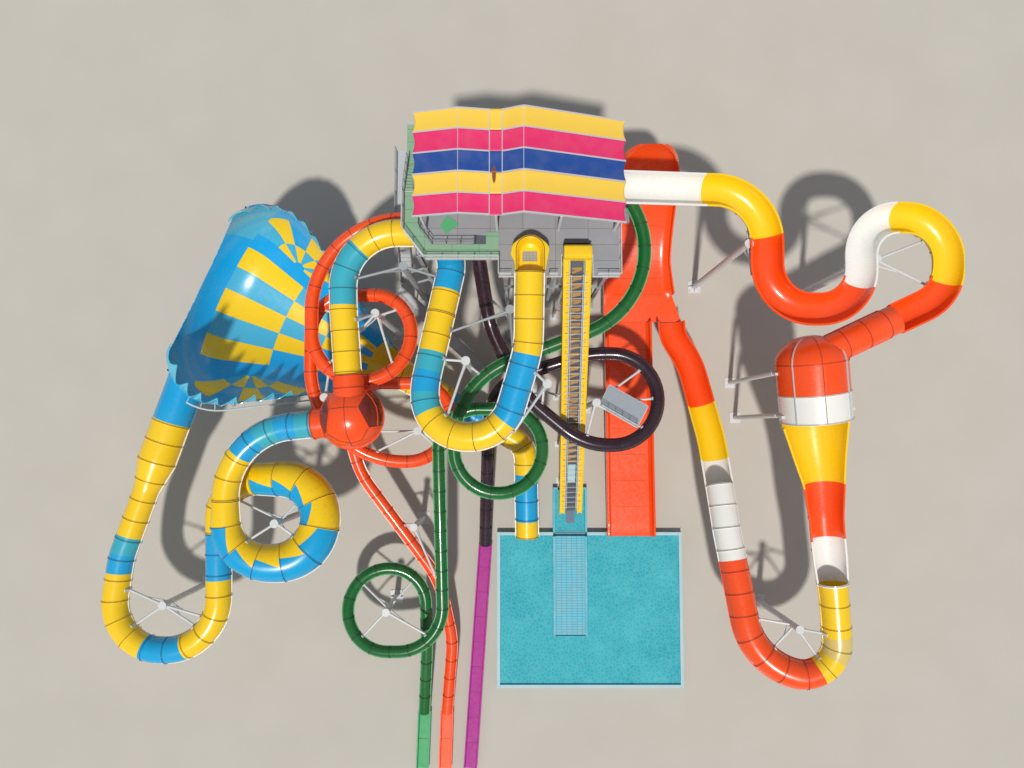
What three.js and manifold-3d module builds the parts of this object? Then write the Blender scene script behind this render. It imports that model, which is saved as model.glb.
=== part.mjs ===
// Water slide tower at 1:2: tower, canopy, two raft rides, three body slides, conveyor and pool.
// Places and sizes are metres of the full-size plant, with +X east and +Y north, and a level floor
// at zero. METRE turns them into millimetres of the model.
import * as THREE from 'three';
import { mergeVertices } from 'three/addons/utils/BufferGeometryUtils.js';
import Module from 'manifold-3d';

const METRE = 500;
const GAP = 0.3 / METRE;
const FLUME_RISE = 0.12;
const REFERENCE_LEG = [-6.4, 17.2];

const RAFT_TUBE = 1.05;
const WIDE_TUBE = 1.17;
const BODY_TUBE = 0.475;
const PURPLE_TUBE = 0.5;
const WALL = 0.05;
const RAFT_SIDES = 10;
const WIDE_SIDES = 12;
const BODY_SIDES = 8;
const STATION_ROOM = 0.4;
const BEND_STEP = THREE.MathUtils.degToRad(32);

const DECK_TOP = 16.55;
const DECK_THICKNESS = 0.25;
const LOWER_DECK_TOP = 12.6;
const RAIL_HEIGHT = 1.1;
const RISER = 0.2;
const GOING = 0.28;
const STAIR_WIDTH = 1.1;
const PLATE = 0.2;
const LANE_WALL = 0.5;
const LANE_FLOOR = 0.1;
const COPING_TOP = 0.6;

// A course is a list of corners: x, y, height of the axis, radius of the bend in plan.
const RAFT_UPPER = [
  [1.3, 13.7, 18.0, 0], [1.2, 5.9, 16.8, 8], [-0.7, -0.5, 16.1, 3.1], [-6.3, -0.5, 15.5, 3.1],
  [-6.5, 3.3, 15.2, 6], [-4.0, 15.0, 14.5, 2.7], [-13.1, 15.2, 14.0, 4.2], [-13.0, 9.2, 13.6, 9],
  [-12.45, 1.2, 13.1, 0],
];
const RAFT_LOWER = [
  [-12.6, 0.8, 12.0, 0], [-22.6, -0.3, 11.6, 5.6], [-22.6, -10.5, 11.1, 3.4],
  [-15.3, -10.6, 10.4, 3.3], [-15.6, -4.0, 9.7, 3.3], [-24.2, -4.0, 8.95, 3.3],
  [-23.9, -18.0, 8.7, 4.3], [-33.1, -17.9, 8.5, 4.0], [-32.3, -10.5, 8.35, 9], [-26.0, 8.2, 8.15, 0],
];
const FUNNEL_OUTLET = [
  [-10.95, 5.42, 4.0, 0], [-9.6, 4.85, 3.2, 5], [1.25, -1.4, 2.35, 2.3], [1.4, -9.87, 1.6, 0],
];
const WIDE_UPPER = [
  [8.0462, 17.5, 17.65, 0], [18.8, 17.6, 16.5, 3.8], [18.9, 8.9, 15.9, 3.4], [26.1, 9.0, 15.4, 3.4],
  [26.5, 16.1, 14.9, 3.2], [33.5, 16.2, 14.4, 3.3], [33.5, 10.4, 14.0, 3.3], [24.0, 5.9, 13.2, 0],
];
const WIDE_LOWER = [
  [24.1, 0.74, 11.6, 0], [25.2, -4.2, 10.2, 14], [25.6, -8.5, 9.65, 20], [26.1, -13.4, 9.35, 20],
  [26.7, -20.2, 8.8, 2.8], [19.9, -19.6, 8.2, 5], [18.2, -8.5, 7.0, 20],
  [17.5, -0.9, 5.4, 20], [16.1, 5.9, 4.0, 8], [14.6, 8.6, 3.55, 3], [14.55, 10.1, 3.5, 0],
];
const ORANGE = [
  [-7.7, 16.5, 13.2, 0], [-15.9, 16.8, 12.6, 7.2], [-15.9, 3.9, 11.7, 3.85], [-8.1, 3.9, 11.2, 3.85],
  [-8.2, 11.0, 10.7, 3.2], [-16.4, 11.0, 10.2, 3.2], [-16.9, -2.6, 8.6, 7.6], [-5.2, -2.7, 7.2, 3.6],
  [-5.3, 4.0, 6.8, 3], [-14.3, 4.1, 6.5, 3], [-14.2, -0.2, 6.1, 3], [-13.2, -3.9, 5.4, 8],
  [-6.5, -13.4, 3.2, 9], [-5.4, -19.1, 1.9, 9], [-6.0, -26.0, 0.5, 0],
];
const GREEN = [
  [9.4, 17.7, 13.2, 0], [13.5, 10.5, 12.4, 6.7], [-4.7, 3.8, 10.8, 7], [-4.7, -5.1, 9.8, 3.55],
  [2.5, -5.2, 9.35, 3.55], [2.5, 1.7, 8.95, 3.2], [-6.2, 1.8, 8.5, 3.4], [-5.9, -19.0, 5.6, 4],
  [-14.2, -19.2, 5.0, 3.5], [-14.5, -12.2, 4.3, 3.4], [-7.7, -12.3, 3.7, 3.2], [-7.7, -19.9, 2.2, 20],
  [-8.1, -26.0, 0.5, 0],
];
const PURPLE = [
  [-2.6, 13.4, 13.2, 0], [-1.8, 8.2, 10.4, 10], [1.2, 2.6, 9.6, 8], [5.9, -1.25, 9.2, 6],
  [12.25, -1.25, 8.6, 3.85], [12.25, 6.5, 8.1, 3.85], [6.6, 6.45, 7.75, 8], [-1.9, 4.0, 6.3, 4.5],
  [-2.4, -7.7, 1.7, 14], [-2.5, -10.7, 0.52, 0],
];
const CONVEYOR = [[5.45, -7.6, 1.1, 0], [4.73, 12.7, 17.4, 0]];

const ROOF_LINE = [[-6.9, 20.0], [-3.7, 20.8], [-1.55, 20.45], [-0.67, 20.45], [0.8, 21.1], [8.1, 18.6]];
const ROOF_SOUTH = 14.6;
const ROOF_BAND = 1.49;
const BAND_COLOURS = {
  canopy_pink_south: 0xe8387a, canopy_yellow_south: 0xffd94f, canopy_blue: 0x1c4fa0,
  canopy_pink_north: 0xe8387a, canopy_yellow_north: 0xffd94f,
};

const LEG_COLUMNS = [-6.4, -1.2, 3.3, 7.4];
const LEG_ROWS = [17.2, 21.4];
const SOUTH_LEGS = [[-0.5, 12.2], [3.3, 12.2], [7.4, 12.2], [-6.9, 12.9]];
const DECK_OUTLINE = [
  [-7.95, 17.5], [-7.95, 14.65], [-6.35, 12.55], [-0.95, 12.55], [-0.95, 11.25], [3.6, 11.25],
  [3.6, 12.85], [5.95, 12.85], [5.95, 11.25], [7.85, 11.25], [7.85, 22.0], [-6.8, 22.0], [-6.8, 17.5],
];
const LOWER_DECK_OUTLINE = [
  [-7.0, 16.0], [-3.3, 16.0], [-3.3, 13.5], [7.8, 13.5], [7.8, 16.4], [9.3, 16.4], [9.3, 18.6],
  [7.8, 18.6], [7.8, 21.9], [-7.0, 21.9],
];
const GREEN_WALKWAY = [
  [-7.93, 17.48], [-7.93, 14.66], [-6.34, 12.57], [-0.97, 12.57], [-0.97, 14.5], [-1.9, 14.5],
  [-1.9, 13.6], [-5.9, 13.6], [-6.82, 14.8], [-6.82, 17.48],
];

const FUNNEL_THROAT = new THREE.Vector3(-10.6, 5.3, 3.8);
const FUNNEL_HEADING = THREE.MathUtils.degToRad(156.8);
const FUNNEL_TILT = THREE.MathUtils.degToRad(35.5);
const FUNNEL_SPREAD = THREE.MathUtils.degToRad(27.9);
const THROAT_RADIUS = 1.45;
const CURL_START = 12.3;
const CURL_RADIUS = 3.9;
const FUNNEL_CLOSED = 1.0;
const RIM_LIFT = 0.06;
const TOOTH = 1.3;
const TOOTH_DEPTH = 0.75;

const SPHERE = new THREE.Vector3(-12.5, 1.0, 12.4);
const SPHERE_RADIUS = 2.45;
const CAPSULE_SOUTH = new THREE.Vector3(24.1, 0.8, 11.6);
const CAPSULE_NORTH = new THREE.Vector3(23.3, 7.4, 12.6);
const CAPSULE_RADIUS = 2.72;

const wasm = await Module();
wasm.setup();

const up = new THREE.Vector3(0, 0, 1);
const group = new THREE.Group();

const finish = {
  yellow: [0xffd21c, 0.25], cyan: [0x29a9dd, 0.25], orange: [0xf5511c, 0.25], white: [0xf3f0e8, 0.3],
  green: [0x12813f, 0.25], purple: [0x4b1f40, 0.25], steel: [0xdfe3e6, 0.45], deck: [0x8b8f96, 0.7],
  walkway: [0x79b08a, 0.7], belt: [0x4d535e, 0.8], pool: [0x4fc3d9, 0.5], frame: [0xb9bec2, 0.5],
};

// Solids: three.js geometry in full-size metres, joined and cut as manifolds.

function solid(geometry) {
  geometry.deleteAttribute('normal');
  geometry.deleteAttribute('uv');
  const merged = mergeVertices(geometry, 1e-5);
  return new wasm.Manifold(new wasm.Mesh({
    numProp: 3,
    vertProperties: new Float32Array(merged.attributes.position.array),
    triVerts: new Uint32Array(merged.index.array),
  }));
}

function join(parts) {
  return parts.reduce((whole, part) => whole.add(part));
}

function piece(name, body, colour) {
  const { vertProperties, triVerts } = body.getMesh();
  const geometry = new THREE.BufferGeometry();
  geometry.setAttribute('position', new THREE.BufferAttribute(new Float32Array(vertProperties), 3));
  geometry.setIndex(new THREE.BufferAttribute(new Uint32Array(triVerts), 1));
  geometry.scale(METRE, METRE, METRE);
  geometry.computeVertexNormals();
  const [color, roughness] = Array.isArray(colour) ? colour : finish[colour];
  const metalness = 0;
  const mesh = new THREE.Mesh(geometry, new THREE.MeshStandardMaterial({ color, roughness, metalness }));
  mesh.name = name;
  group.add(mesh);
}

function box(x0, x1, y0, y1, z0, z1) {
  const geometry = new THREE.BoxGeometry(x1 - x0, y1 - y0, z1 - z0);
  geometry.translate((x0 + x1) / 2, (y0 + y1) / 2, (z0 + z1) / 2);
  return solid(geometry);
}

function bar(from, to, radius, sides = 6) {
  const along = to.clone().sub(from);
  const geometry = new THREE.CylinderGeometry(radius, radius, along.length(), sides);
  geometry.applyQuaternion(new THREE.Quaternion().setFromUnitVectors(
    new THREE.Vector3(0, 1, 0), along.clone().normalize(),
  ));
  geometry.translate(...from.clone().add(to).multiplyScalar(0.5).toArray());
  return solid(geometry);
}

function slab(outline, z0, z1) {
  const shape = new THREE.Shape(outline.map(([x, y]) => new THREE.Vector2(x, y)));
  const geometry = new THREE.ExtrudeGeometry(shape, { depth: z1 - z0, bevelEnabled: false });
  geometry.translate(0, 0, z0);
  return solid(geometry);
}

function offsetOutline(outline, distance) {
  // Moves each side of a clockwise or anticlockwise outline outwards by the same distance.
  const shape = outline.map(([x, y]) => new THREE.Vector2(x, y));
  const turn = THREE.ShapeUtils.isClockWise(shape) ? -1 : 1;
  return shape.map((corner, index) => {
    const before = shape.at(index - 1);
    const after = shape[(index + 1) % shape.length];
    const a = corner.clone().sub(before).normalize();
    const b = after.clone().sub(corner).normalize();
    const normalA = new THREE.Vector2(a.y, -a.x).multiplyScalar(turn);
    const normalB = new THREE.Vector2(b.y, -b.x).multiplyScalar(turn);
    const mitre = normalA.clone().add(normalB);
    mitre.multiplyScalar(2 * distance / mitre.lengthSq());
    return [corner.x + mitre.x, corner.y + mitre.y];
  });
}

// Courses: straights joined by round bends in plan, with a smooth fall along their length.

function layLegs(corners) {
  const legs = [];
  const marks = [0];
  let length = 0;
  let from = new THREE.Vector2(corners[0][0], corners[0][1]);
  const addLeg = (start, heading, size, bend) => {
    legs.push({ at: length, start, heading, size, bend });
    length += size;
  };
  for (let index = 1; index < corners.length; index += 1) {
    const corner = new THREE.Vector2(corners[index][0], corners[index][1]);
    const heading = corner.clone().sub(from).angle();
    if (index === corners.length - 1) {
      addLeg(from, heading, corner.distanceTo(from), 0);
      marks.push(length);
      break;
    }
    const next = new THREE.Vector2(corners[index + 1][0], corners[index + 1][1]);
    const turn = Math.atan2(Math.sin(next.clone().sub(corner).angle() - heading),
      Math.cos(next.clone().sub(corner).angle() - heading));
    const radius = corners[index][3];
    const tangent = radius * Math.tan(Math.abs(turn) / 2);
    addLeg(from, heading, corner.distanceTo(from) - tangent, 0);
    const bendStart = corner.clone().add(
      new THREE.Vector2(-tangent, 0).rotateAround(new THREE.Vector2(), heading),
    );
    const arc = radius * Math.abs(turn);
    marks.push(length + arc / 2);
    addLeg(bendStart, heading, arc, Math.sign(turn) / radius);
    from = corner.clone().add(
      new THREE.Vector2(tangent, 0).rotateAround(new THREE.Vector2(), heading + turn),
    );
  }
  return { legs, marks };
}

class Course extends THREE.Curve {
  constructor(corners, cuts = [], girths = [[0, 1]]) {
    super();
    const { legs, marks } = layLegs(corners);
    this.legs = legs;
    this.marks = marks;
    this.levels = corners.map((corner) => corner[2]);
    this.girths = girths;
    this.stations = this.layStations(cuts.map((mark) => this.distance(mark)));
    this.distances = this.stations;
  }

  // A station at each cut, and through each bend where the cuts leave room for one.
  layStations(cuts) {
    const fixed = [0, ...cuts, ...this.girths.map(([mark]) => this.distance(mark)), this.marks.at(-1)];
    const stations = [...new Set(fixed)];
    this.legs.forEach((leg) => {
      const steps = Math.max(1, Math.ceil(Math.abs(leg.bend) * leg.size / BEND_STEP));
      for (let step = 0; step < steps; step += 1) {
        const distance = leg.at + leg.size * step / steps;
        if (stations.every((other) => Math.abs(other - distance) > STATION_ROOM)) stations.push(distance);
      }
    });
    return stations.sort((a, b) => a - b);
  }

  // Distance along the course of corner number `mark`, which may lie between two corners.
  distance(mark) {
    const low = Math.min(Math.floor(mark), this.marks.length - 2);
    return THREE.MathUtils.lerp(this.marks[low], this.marks[low + 1], mark - low);
  }

  slope(index) {
    const secant = (i) => (this.levels[i + 1] - this.levels[i]) / (this.marks[i + 1] - this.marks[i]);
    if (index === 0) return secant(0);
    if (index === this.marks.length - 1) return secant(index - 1);
    const [before, after] = [secant(index - 1), secant(index)];
    return before * after <= 0 ? 0 : 2 * before * after / (before + after);
  }

  level(distance) {
    const index = this.marks.findIndex((mark, i) => i > 0 && distance <= mark) - 1;
    const low = index < 0 ? this.marks.length - 2 : index;
    const span = this.marks[low + 1] - this.marks[low];
    const t = (distance - this.marks[low]) / span;
    const rise = t * t * (3 - 2 * t);
    return this.levels[low] * (1 - rise) + this.levels[low + 1] * rise
      + span * (this.slope(low) * t * (1 - t) ** 2 + this.slope(low + 1) * t * t * (t - 1));
  }

  girth(distance) {
    const stops = this.girths.map(([mark, size]) => [this.distance(mark), size]);
    const index = stops.findIndex(([at]) => distance < at);
    if (index === 0) return stops[0][1];
    if (index < 0) return stops.at(-1)[1];
    const [[a, sizeA], [b, sizeB]] = [stops[index - 1], stops[index]];
    return THREE.MathUtils.lerp(sizeA, sizeB, (distance - a) / (b - a));
  }

  place(distance) {
    const leg = this.legs.findLast((candidate) => candidate.at <= distance) ?? this.legs[0];
    const along = distance - leg.at;
    const heading = leg.heading + leg.bend * along;
    const { x, y } = leg.start;
    const point = new THREE.Vector3(0, 0, this.level(distance));
    if (leg.bend === 0) {
      point.x = x + Math.cos(heading) * along;
      point.y = y + Math.sin(heading) * along;
    } else {
      point.x = x + (Math.sin(heading) - Math.sin(leg.heading)) / leg.bend;
      point.y = y - (Math.cos(heading) - Math.cos(leg.heading)) / leg.bend;
    }
    return { point, heading };
  }

  at(mark) {
    return this.place(this.distance(mark)).point;
  }

  // The stretch between two cuts, given as corner numbers.
  stretch(from = 0, to = this.marks.length - 1) {
    const part = Object.create(this);
    const [start, end] = [this.distance(from), this.distance(to)];
    part.distances = this.stations.filter((station) => station >= start && station <= end);
    if (from > 0) part.distances[0] += GAP;
    return part;
  }

  getPoint(t) {
    const station = Math.round(t * (this.distances.length - 1));
    return this.place(this.distances[station]).point;
  }

  getPointAt(u) {
    return this.getPoint(u);
  }

  // Sections stand upright across the course: x to the left, y up, both scaled by the girth.
  computeFrenetFrames() {
    const frames = { tangents: [], normals: [], binormals: [] };
    const probe = 0.2;
    const length = this.marks.at(-1);
    this.distances.forEach((distance) => {
      const { heading } = this.place(distance);
      const ahead = Math.min(distance + probe, length);
      const behind = Math.max(distance - probe, 0);
      const fall = (this.level(ahead) - this.level(behind)) / (ahead - behind);
      const tangent = new THREE.Vector3(Math.cos(heading), Math.sin(heading), fall).normalize();
      const left = new THREE.Vector3().crossVectors(up, tangent).normalize();
      const size = this.girth(distance);
      frames.tangents.push(tangent);
      frames.normals.push(left.clone().multiplyScalar(size));
      frames.binormals.push(new THREE.Vector3().crossVectors(tangent, left).multiplyScalar(size));
    });
    return frames;
  }
}

function sweep(course, shape) {
  return solid(new THREE.ExtrudeGeometry(shape, {
    steps: course.distances.length - 1, extrudePath: course, bevelEnabled: false,
  }));
}

function polygon(radius, sides) {
  return Array.from({ length: sides }, (_, index) => {
    const angle = index * 2 * Math.PI / sides;
    return new THREE.Vector2(radius * Math.cos(angle), radius * Math.sin(angle));
  });
}

function ringSection(radius, sides) {
  const shape = new THREE.Shape(polygon(radius, sides));
  shape.holes.push(new THREE.Path(polygon(radius - WALL, sides)));
  return shape;
}

function arcPoints(radius, sides, from, to) {
  return Array.from({ length: sides + 1 }, (_, index) => {
    const angle = from + (to - from) * index / sides;
    return new THREE.Vector2(radius * Math.cos(angle), radius * Math.sin(angle));
  });
}

function troughSection(radius, sides, rise) {
  const outer = arcPoints(radius, sides, -Math.PI, 0);
  const inner = arcPoints(radius - WALL, sides, 0, -Math.PI);
  return new THREE.Shape([
    new THREE.Vector2(-radius, rise), ...outer, new THREE.Vector2(radius, rise),
    new THREE.Vector2(radius - WALL, rise), ...inner, new THREE.Vector2(WALL - radius, rise),
  ]);
}

function tube(course, radius, sides, from, to) {
  return sweep(course.stretch(from, to), ringSection(radius, sides));
}

function flume(course, from, to) {
  return sweep(course.stretch(from, to), troughSection(WIDE_TUBE, WIDE_SIDES / 2, FLUME_RISE));
}

// The space that a slide fills, with the gap that a saddle keeps to it.
function envelope(course, radius, sides = RAFT_SIDES) {
  return sweep(course.stretch(), new THREE.Shape(polygon(radius + GAP, sides)));
}

function wideEnvelope(course) {
  const reach = WIDE_TUBE + GAP;
  const crown = arcPoints(reach, WIDE_SIDES / 2, 0, Math.PI);
  crown.forEach((point) => point.setY(point.y + FLUME_RISE + GAP));
  const points = [...arcPoints(reach, WIDE_SIDES / 2, -Math.PI, 0), ...crown];
  return sweep(course.stretch(), new THREE.Shape(points));
}

const raftUpper = new Course(RAFT_UPPER, [4.5, 7.2]);
const raftLower = new Course(RAFT_LOWER, [0.4, 1.5, 5.3, 8.6], [
  [1.5, 1], [2, 1.25], [3, 1.58], [4, 1.5], [5, 1.12], [5.3, 1], [8.3, 1], [8.42, 1.5], [9, 1.5],
]);
const outlet = new Course(FUNNEL_OUTLET, [], [[0, 1.38], [1, 1.3], [1.5, 1]]);
const wideUpper = new Course(WIDE_UPPER, [3.5, 6.6, 6.7]);
const wideLower = new Course(WIDE_LOWER, [3, 6.5], [
  [0, 2.32], [1, 1.45], [1.7, 1.17], [2.4, 1.15], [3, 1],
]);
const orangeCourse = new Course(ORANGE, [5.5]);
const greenCourse = new Course(GREEN, [6.5]);
const purpleCourse = new Course(PURPLE);
const conveyorCourse = new Course(CONVEYOR);

// Round shells: the sphere, the capsule and the funnel.

function place(geometry, origin, axis, lift) {
  const forward = axis.clone().normalize();
  const side = new THREE.Vector3().crossVectors(forward, lift).normalize();
  const basis = new THREE.Matrix4().makeBasis(
    side, forward, new THREE.Vector3().crossVectors(side, forward),
  );
  geometry.applyMatrix4(basis.setPosition(origin));
  return solid(geometry);
}

function lathe(profile, segments, origin, axis) {
  const points = profile.map(([radius, along]) => new THREE.Vector2(radius, along));
  return place(new THREE.LatheGeometry(points, segments), origin, axis, up);
}

function ball(radius) {
  const geometry = new THREE.SphereGeometry(radius, 16, 10);
  geometry.translate(...SPHERE.toArray());
  return solid(geometry);
}

const CAPSULE_SEGMENTS = 18;

function capsuleProfile(radius) {
  const length = CAPSULE_NORTH.distanceTo(CAPSULE_SOUTH);
  const dome = 2.1;
  const steps = 3;
  const profile = [];
  for (let step = 0; step <= steps; step += 1) {
    const angle = Math.PI / 2 * step / steps;
    const bulge = dome + radius - CAPSULE_RADIUS;
    profile.push([radius * Math.cos(angle), length - dome + bulge * Math.sin(angle)]);
  }
  profile[steps][0] = 0;
  return profile;
}

function capsuleShell() {
  const axis = CAPSULE_NORTH.clone().sub(CAPSULE_SOUTH);
  const outer = capsuleProfile(CAPSULE_RADIUS);
  const inner = capsuleProfile(CAPSULE_RADIUS - WALL).reverse();
  const foot = [[CAPSULE_RADIUS - WALL, 0], [CAPSULE_RADIUS, 0]];
  return lathe([...inner, ...foot, ...outer], CAPSULE_SEGMENTS, CAPSULE_SOUTH, axis);
}

function capsuleHull() {
  const axis = CAPSULE_NORTH.clone().sub(CAPSULE_SOUTH);
  const side = capsuleProfile(CAPSULE_RADIUS + GAP);
  return lathe([[0, -GAP], [CAPSULE_RADIUS + GAP, -GAP], ...side], CAPSULE_SEGMENTS, CAPSULE_SOUTH, axis);
}

const funnelAxis = new THREE.Vector3(
  Math.cos(FUNNEL_HEADING) * Math.cos(FUNNEL_TILT),
  Math.sin(FUNNEL_HEADING) * Math.cos(FUNNEL_TILT),
  Math.sin(FUNNEL_TILT),
);
const funnelLength = CURL_START + CURL_RADIUS * (1 + Math.sin(FUNNEL_SPREAD));
const FUNNEL_SEGMENTS = 28;

function funnelRadius(along) {
  return THROAT_RADIUS + along * Math.tan(FUNNEL_SPREAD);
}

// Side of the funnel: a cone from the throat that curls in round its wide end.
function funnelSide(spare) {
  const steps = 6;
  const centre = [
    funnelRadius(CURL_START) - CURL_RADIUS * Math.cos(FUNNEL_SPREAD),
    CURL_START + CURL_RADIUS * Math.sin(FUNNEL_SPREAD),
  ];
  const profile = [[THROAT_RADIUS + spare / Math.cos(FUNNEL_SPREAD), 0]];
  for (let step = 0; step <= steps; step += 1) {
    const angle = THREE.MathUtils.lerp(-FUNNEL_SPREAD, Math.PI / 2, step / steps);
    const radius = CURL_RADIUS + spare;
    profile.push([centre[0] + radius * Math.cos(angle), centre[1] + radius * Math.sin(angle)]);
  }
  return profile;
}

function funnelShell() {
  const outer = funnelSide(0);
  const profile = [...outer, ...funnelSide(-WALL).reverse(), outer[0]];
  return lathe(profile, FUNNEL_SEGMENTS, FUNNEL_THROAT, funnelAxis);
}

function funnelRing(from, to, inner, outer) {
  return lathe([
    [funnelRadius(from) + inner, from], [funnelRadius(from) + outer, from],
    [funnelRadius(to) + outer, to], [funnelRadius(to) + inner, to], [funnelRadius(from) + inner, from],
  ], FUNNEL_SEGMENTS, FUNNEL_THROAT, funnelAxis);
}

function funnelHull(spare) {
  const profile = [[0, 0], ...funnelSide(spare), [0, funnelLength + spare]];
  return lathe(profile, FUNNEL_SEGMENTS, FUNNEL_THROAT, funnelAxis);
}

// The open top of the funnel, with a row of teeth along both rims.
function funnelLid(base) {
  const reach = 2 * funnelRadius(CURL_START);
  const points = [[funnelLength + 1, reach], [FUNNEL_CLOSED, reach], [FUNNEL_CLOSED, base]];
  for (let along = FUNNEL_CLOSED + TOOTH / 2; along + TOOTH < funnelLength + 1; along += TOOTH) {
    points.push([along, base + TOOTH_DEPTH]);
    points.push([along + TOOTH / 2, base]);
  }
  points.push([funnelLength + 1, base]);
  const shape = new THREE.Shape(points.map(([along, lift]) => new THREE.Vector2(along, lift)));
  const geometry = new THREE.ExtrudeGeometry(shape, { depth: 2 * reach, bevelEnabled: false });
  geometry.translate(0, 0, -reach);
  // From the drawing plane: along the axis, up, and across.
  geometry.applyMatrix4(new THREE.Matrix4().makeBasis(
    new THREE.Vector3(0, 1, 0), new THREE.Vector3(0, 0, 1), new THREE.Vector3(1, 0, 0),
  ));
  return place(geometry, FUNNEL_THROAT, funnelAxis, up);
}

// Slide envelopes that masts and frames are cut against.

const cone = funnelHull(GAP);
const envelopes = [
  envelope(raftUpper, RAFT_TUBE), envelope(raftLower, RAFT_TUBE), envelope(outlet, RAFT_TUBE),
  wideEnvelope(wideUpper), wideEnvelope(wideLower),
  envelope(orangeCourse, BODY_TUBE, BODY_SIDES), envelope(greenCourse, BODY_TUBE, BODY_SIDES),
  envelope(purpleCourse, PURPLE_TUBE, BODY_SIDES), ball(SPHERE_RADIUS + GAP), capsuleHull(),
];

function clearOfSlides(body) {
  return envelopes.reduce((rest, filled) => rest.subtract(filled), body);
}

// A hood that stands on the deck over the mouth of the raft tube.
function startHood() {
  const [x, y, z] = RAFT_UPPER[0];
  const half = RAFT_TUBE + 0.15;
  const outer = new THREE.Shape([
    new THREE.Vector2(-half, -z + DECK_TOP + GAP), new THREE.Vector2(half, -z + DECK_TOP + GAP),
    ...arcPoints(half, 10, 0, Math.PI),
  ]);
  const geometry = new THREE.ExtrudeGeometry(outer, { depth: 2.2, bevelEnabled: false });
  geometry.rotateX(Math.PI / 2);
  geometry.translate(x, y - 0.22, z);
  return solid(geometry).subtract(envelope(raftUpper, RAFT_TUBE));
}

function addRafts() {
  const bore = new THREE.Shape(polygon(RAFT_TUBE - WALL, RAFT_SIDES));
  const feedBore = sweep(raftLower.stretch(8.5, 9), bore);
  const sphereInlet = sweep(raftUpper.stretch(7.2, 8), bore);
  const sphereOutlet = sweep(raftLower.stretch(0, 0.4), bore);
  const hull = ball(SPHERE_RADIUS + GAP);
  piece('start_hood', startHood(), 'yellow');
  piece('raft_tube_upper', tube(raftUpper, RAFT_TUBE, RAFT_SIDES, 0, 4.5), 'cyan');
  piece('raft_tube_west', tube(raftUpper, RAFT_TUBE, RAFT_SIDES, 4.5, 8).subtract(hull), 'yellow');
  const shell = ball(SPHERE_RADIUS).subtract(ball(SPHERE_RADIUS - WALL));
  piece('raft_sphere', shell.subtract(sphereInlet).subtract(sphereOutlet), 'orange');
  piece('sphere_outlet_tube', tube(raftLower, RAFT_TUBE, RAFT_SIDES, 0, 1.5).subtract(hull), 'cyan');
  piece('spiral_tube', tube(raftLower, RAFT_TUBE, RAFT_SIDES, 1.5, 5.3), 'yellow');
  piece('return_tube', tube(raftLower, RAFT_TUBE, RAFT_SIDES, 5.3, 9).subtract(cone), 'cyan');
  piece('funnel', funnelShell().subtract(funnelLid(RIM_LIFT)).subtract(feedBore), 'cyan');
  const outletTube = tube(outlet, RAFT_TUBE, RAFT_SIDES, 0, 3).subtract(cone);
  const mouthSide = new THREE.CylinderGeometry(6, 6, 4, 8);
  mouthSide.translate(0, 2 - GAP, 0);
  piece('funnel_outlet', outletTube.subtract(place(mouthSide, FUNNEL_THROAT, funnelAxis, up)), 'yellow');
}

function addWideRide() {
  piece('wide_flume_first', flume(wideUpper, 0, 3.5), 'white');
  const drop = tube(wideUpper, WIDE_TUBE, WIDE_SIDES, 6.6, 7);
  piece('wide_flume_second', flume(wideUpper, 3.5, 6.7).add(drop).subtract(capsuleHull()), 'yellow');
  const inlet = sweep(wideUpper.stretch(6.7, 7), new THREE.Shape(polygon(WIDE_TUBE - WALL, WIDE_SIDES)));
  piece('capsule', capsuleShell().subtract(inlet), 'orange');
  piece('taper', flume(wideLower, 0, 3).subtract(capsuleHull()), 'yellow');
  piece('wide_return_tube', tube(wideLower, WIDE_TUBE, WIDE_SIDES, 3, 6.5), 'orange');
  const past = box(12, 18, WALL_SOUTH - GAP, 12, 0, 8);
  piece('rising_flume', flume(wideLower, 6.5).subtract(past), 'white');
}

// The orange wall: a wide floor that curves up to the north, with raised sides.

const WALL_SOUTH = 10;
const WALL_FLOOR = 2.35;
const WALL_FOOT = 12.5;
const WALL_CURVE = 10.5;
const WALL_HEIGHT = 1.1;
const SHEET = 0.08;
const WALL_PLAN = [
  [8.55, 10.0], [15.72, 10.0], [14.75, 12.6], [14.35, 15.5], [14.3, 19.5], [14.2, 21.9], [13.6, 22.9],
  [12.6, 23.35], [10.2, 23.35], [9.2, 22.9], [8.9, 21.9], [9.0, 19.5], [9.4, 15.5], [8.55, 13.6],
];
const RUNOUT_PLAN = [[8.87, -9.9], [13.35, -9.9], [12.85, 10 - GAP], [8.55, 10 - GAP]];

function wallFloor(lift) {
  const centre = 2.7 + WALL_CURVE;
  const points = [[WALL_SOUTH, WALL_FLOOR + lift]];
  const steps = 8;
  for (let step = 0; step <= steps; step += 1) {
    const angle = THREE.MathUtils.degToRad(86) * step / steps;
    const radius = WALL_CURVE - lift;
    points.push([WALL_FOOT + radius * Math.sin(angle), centre - radius * Math.cos(angle)]);
  }
  return points;
}

function runoutFloor(lift) {
  const foot = COPING_TOP + GAP + lift;
  return [[-9.9, foot], [-9.5, foot], [-4, 1.0 + lift], [WALL_SOUTH, WALL_FLOOR + lift]];
}

function strip(lower, upper, x0, x1) {
  // A plate between two side profiles of (y, z), drawn in the YZ plane and pulled along X.
  const shape = new THREE.Shape([...lower, ...upper.reverse()].map(([y, z]) => new THREE.Vector2(y, z)));
  const geometry = new THREE.ExtrudeGeometry(shape, { depth: x1 - x0, bevelEnabled: false });
  geometry.applyMatrix4(new THREE.Matrix4().makeBasis(
    new THREE.Vector3(0, 1, 0), new THREE.Vector3(0, 0, 1), new THREE.Vector3(1, 0, 0),
  ));
  geometry.translate(x0, 0, 0);
  return solid(geometry);
}

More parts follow.
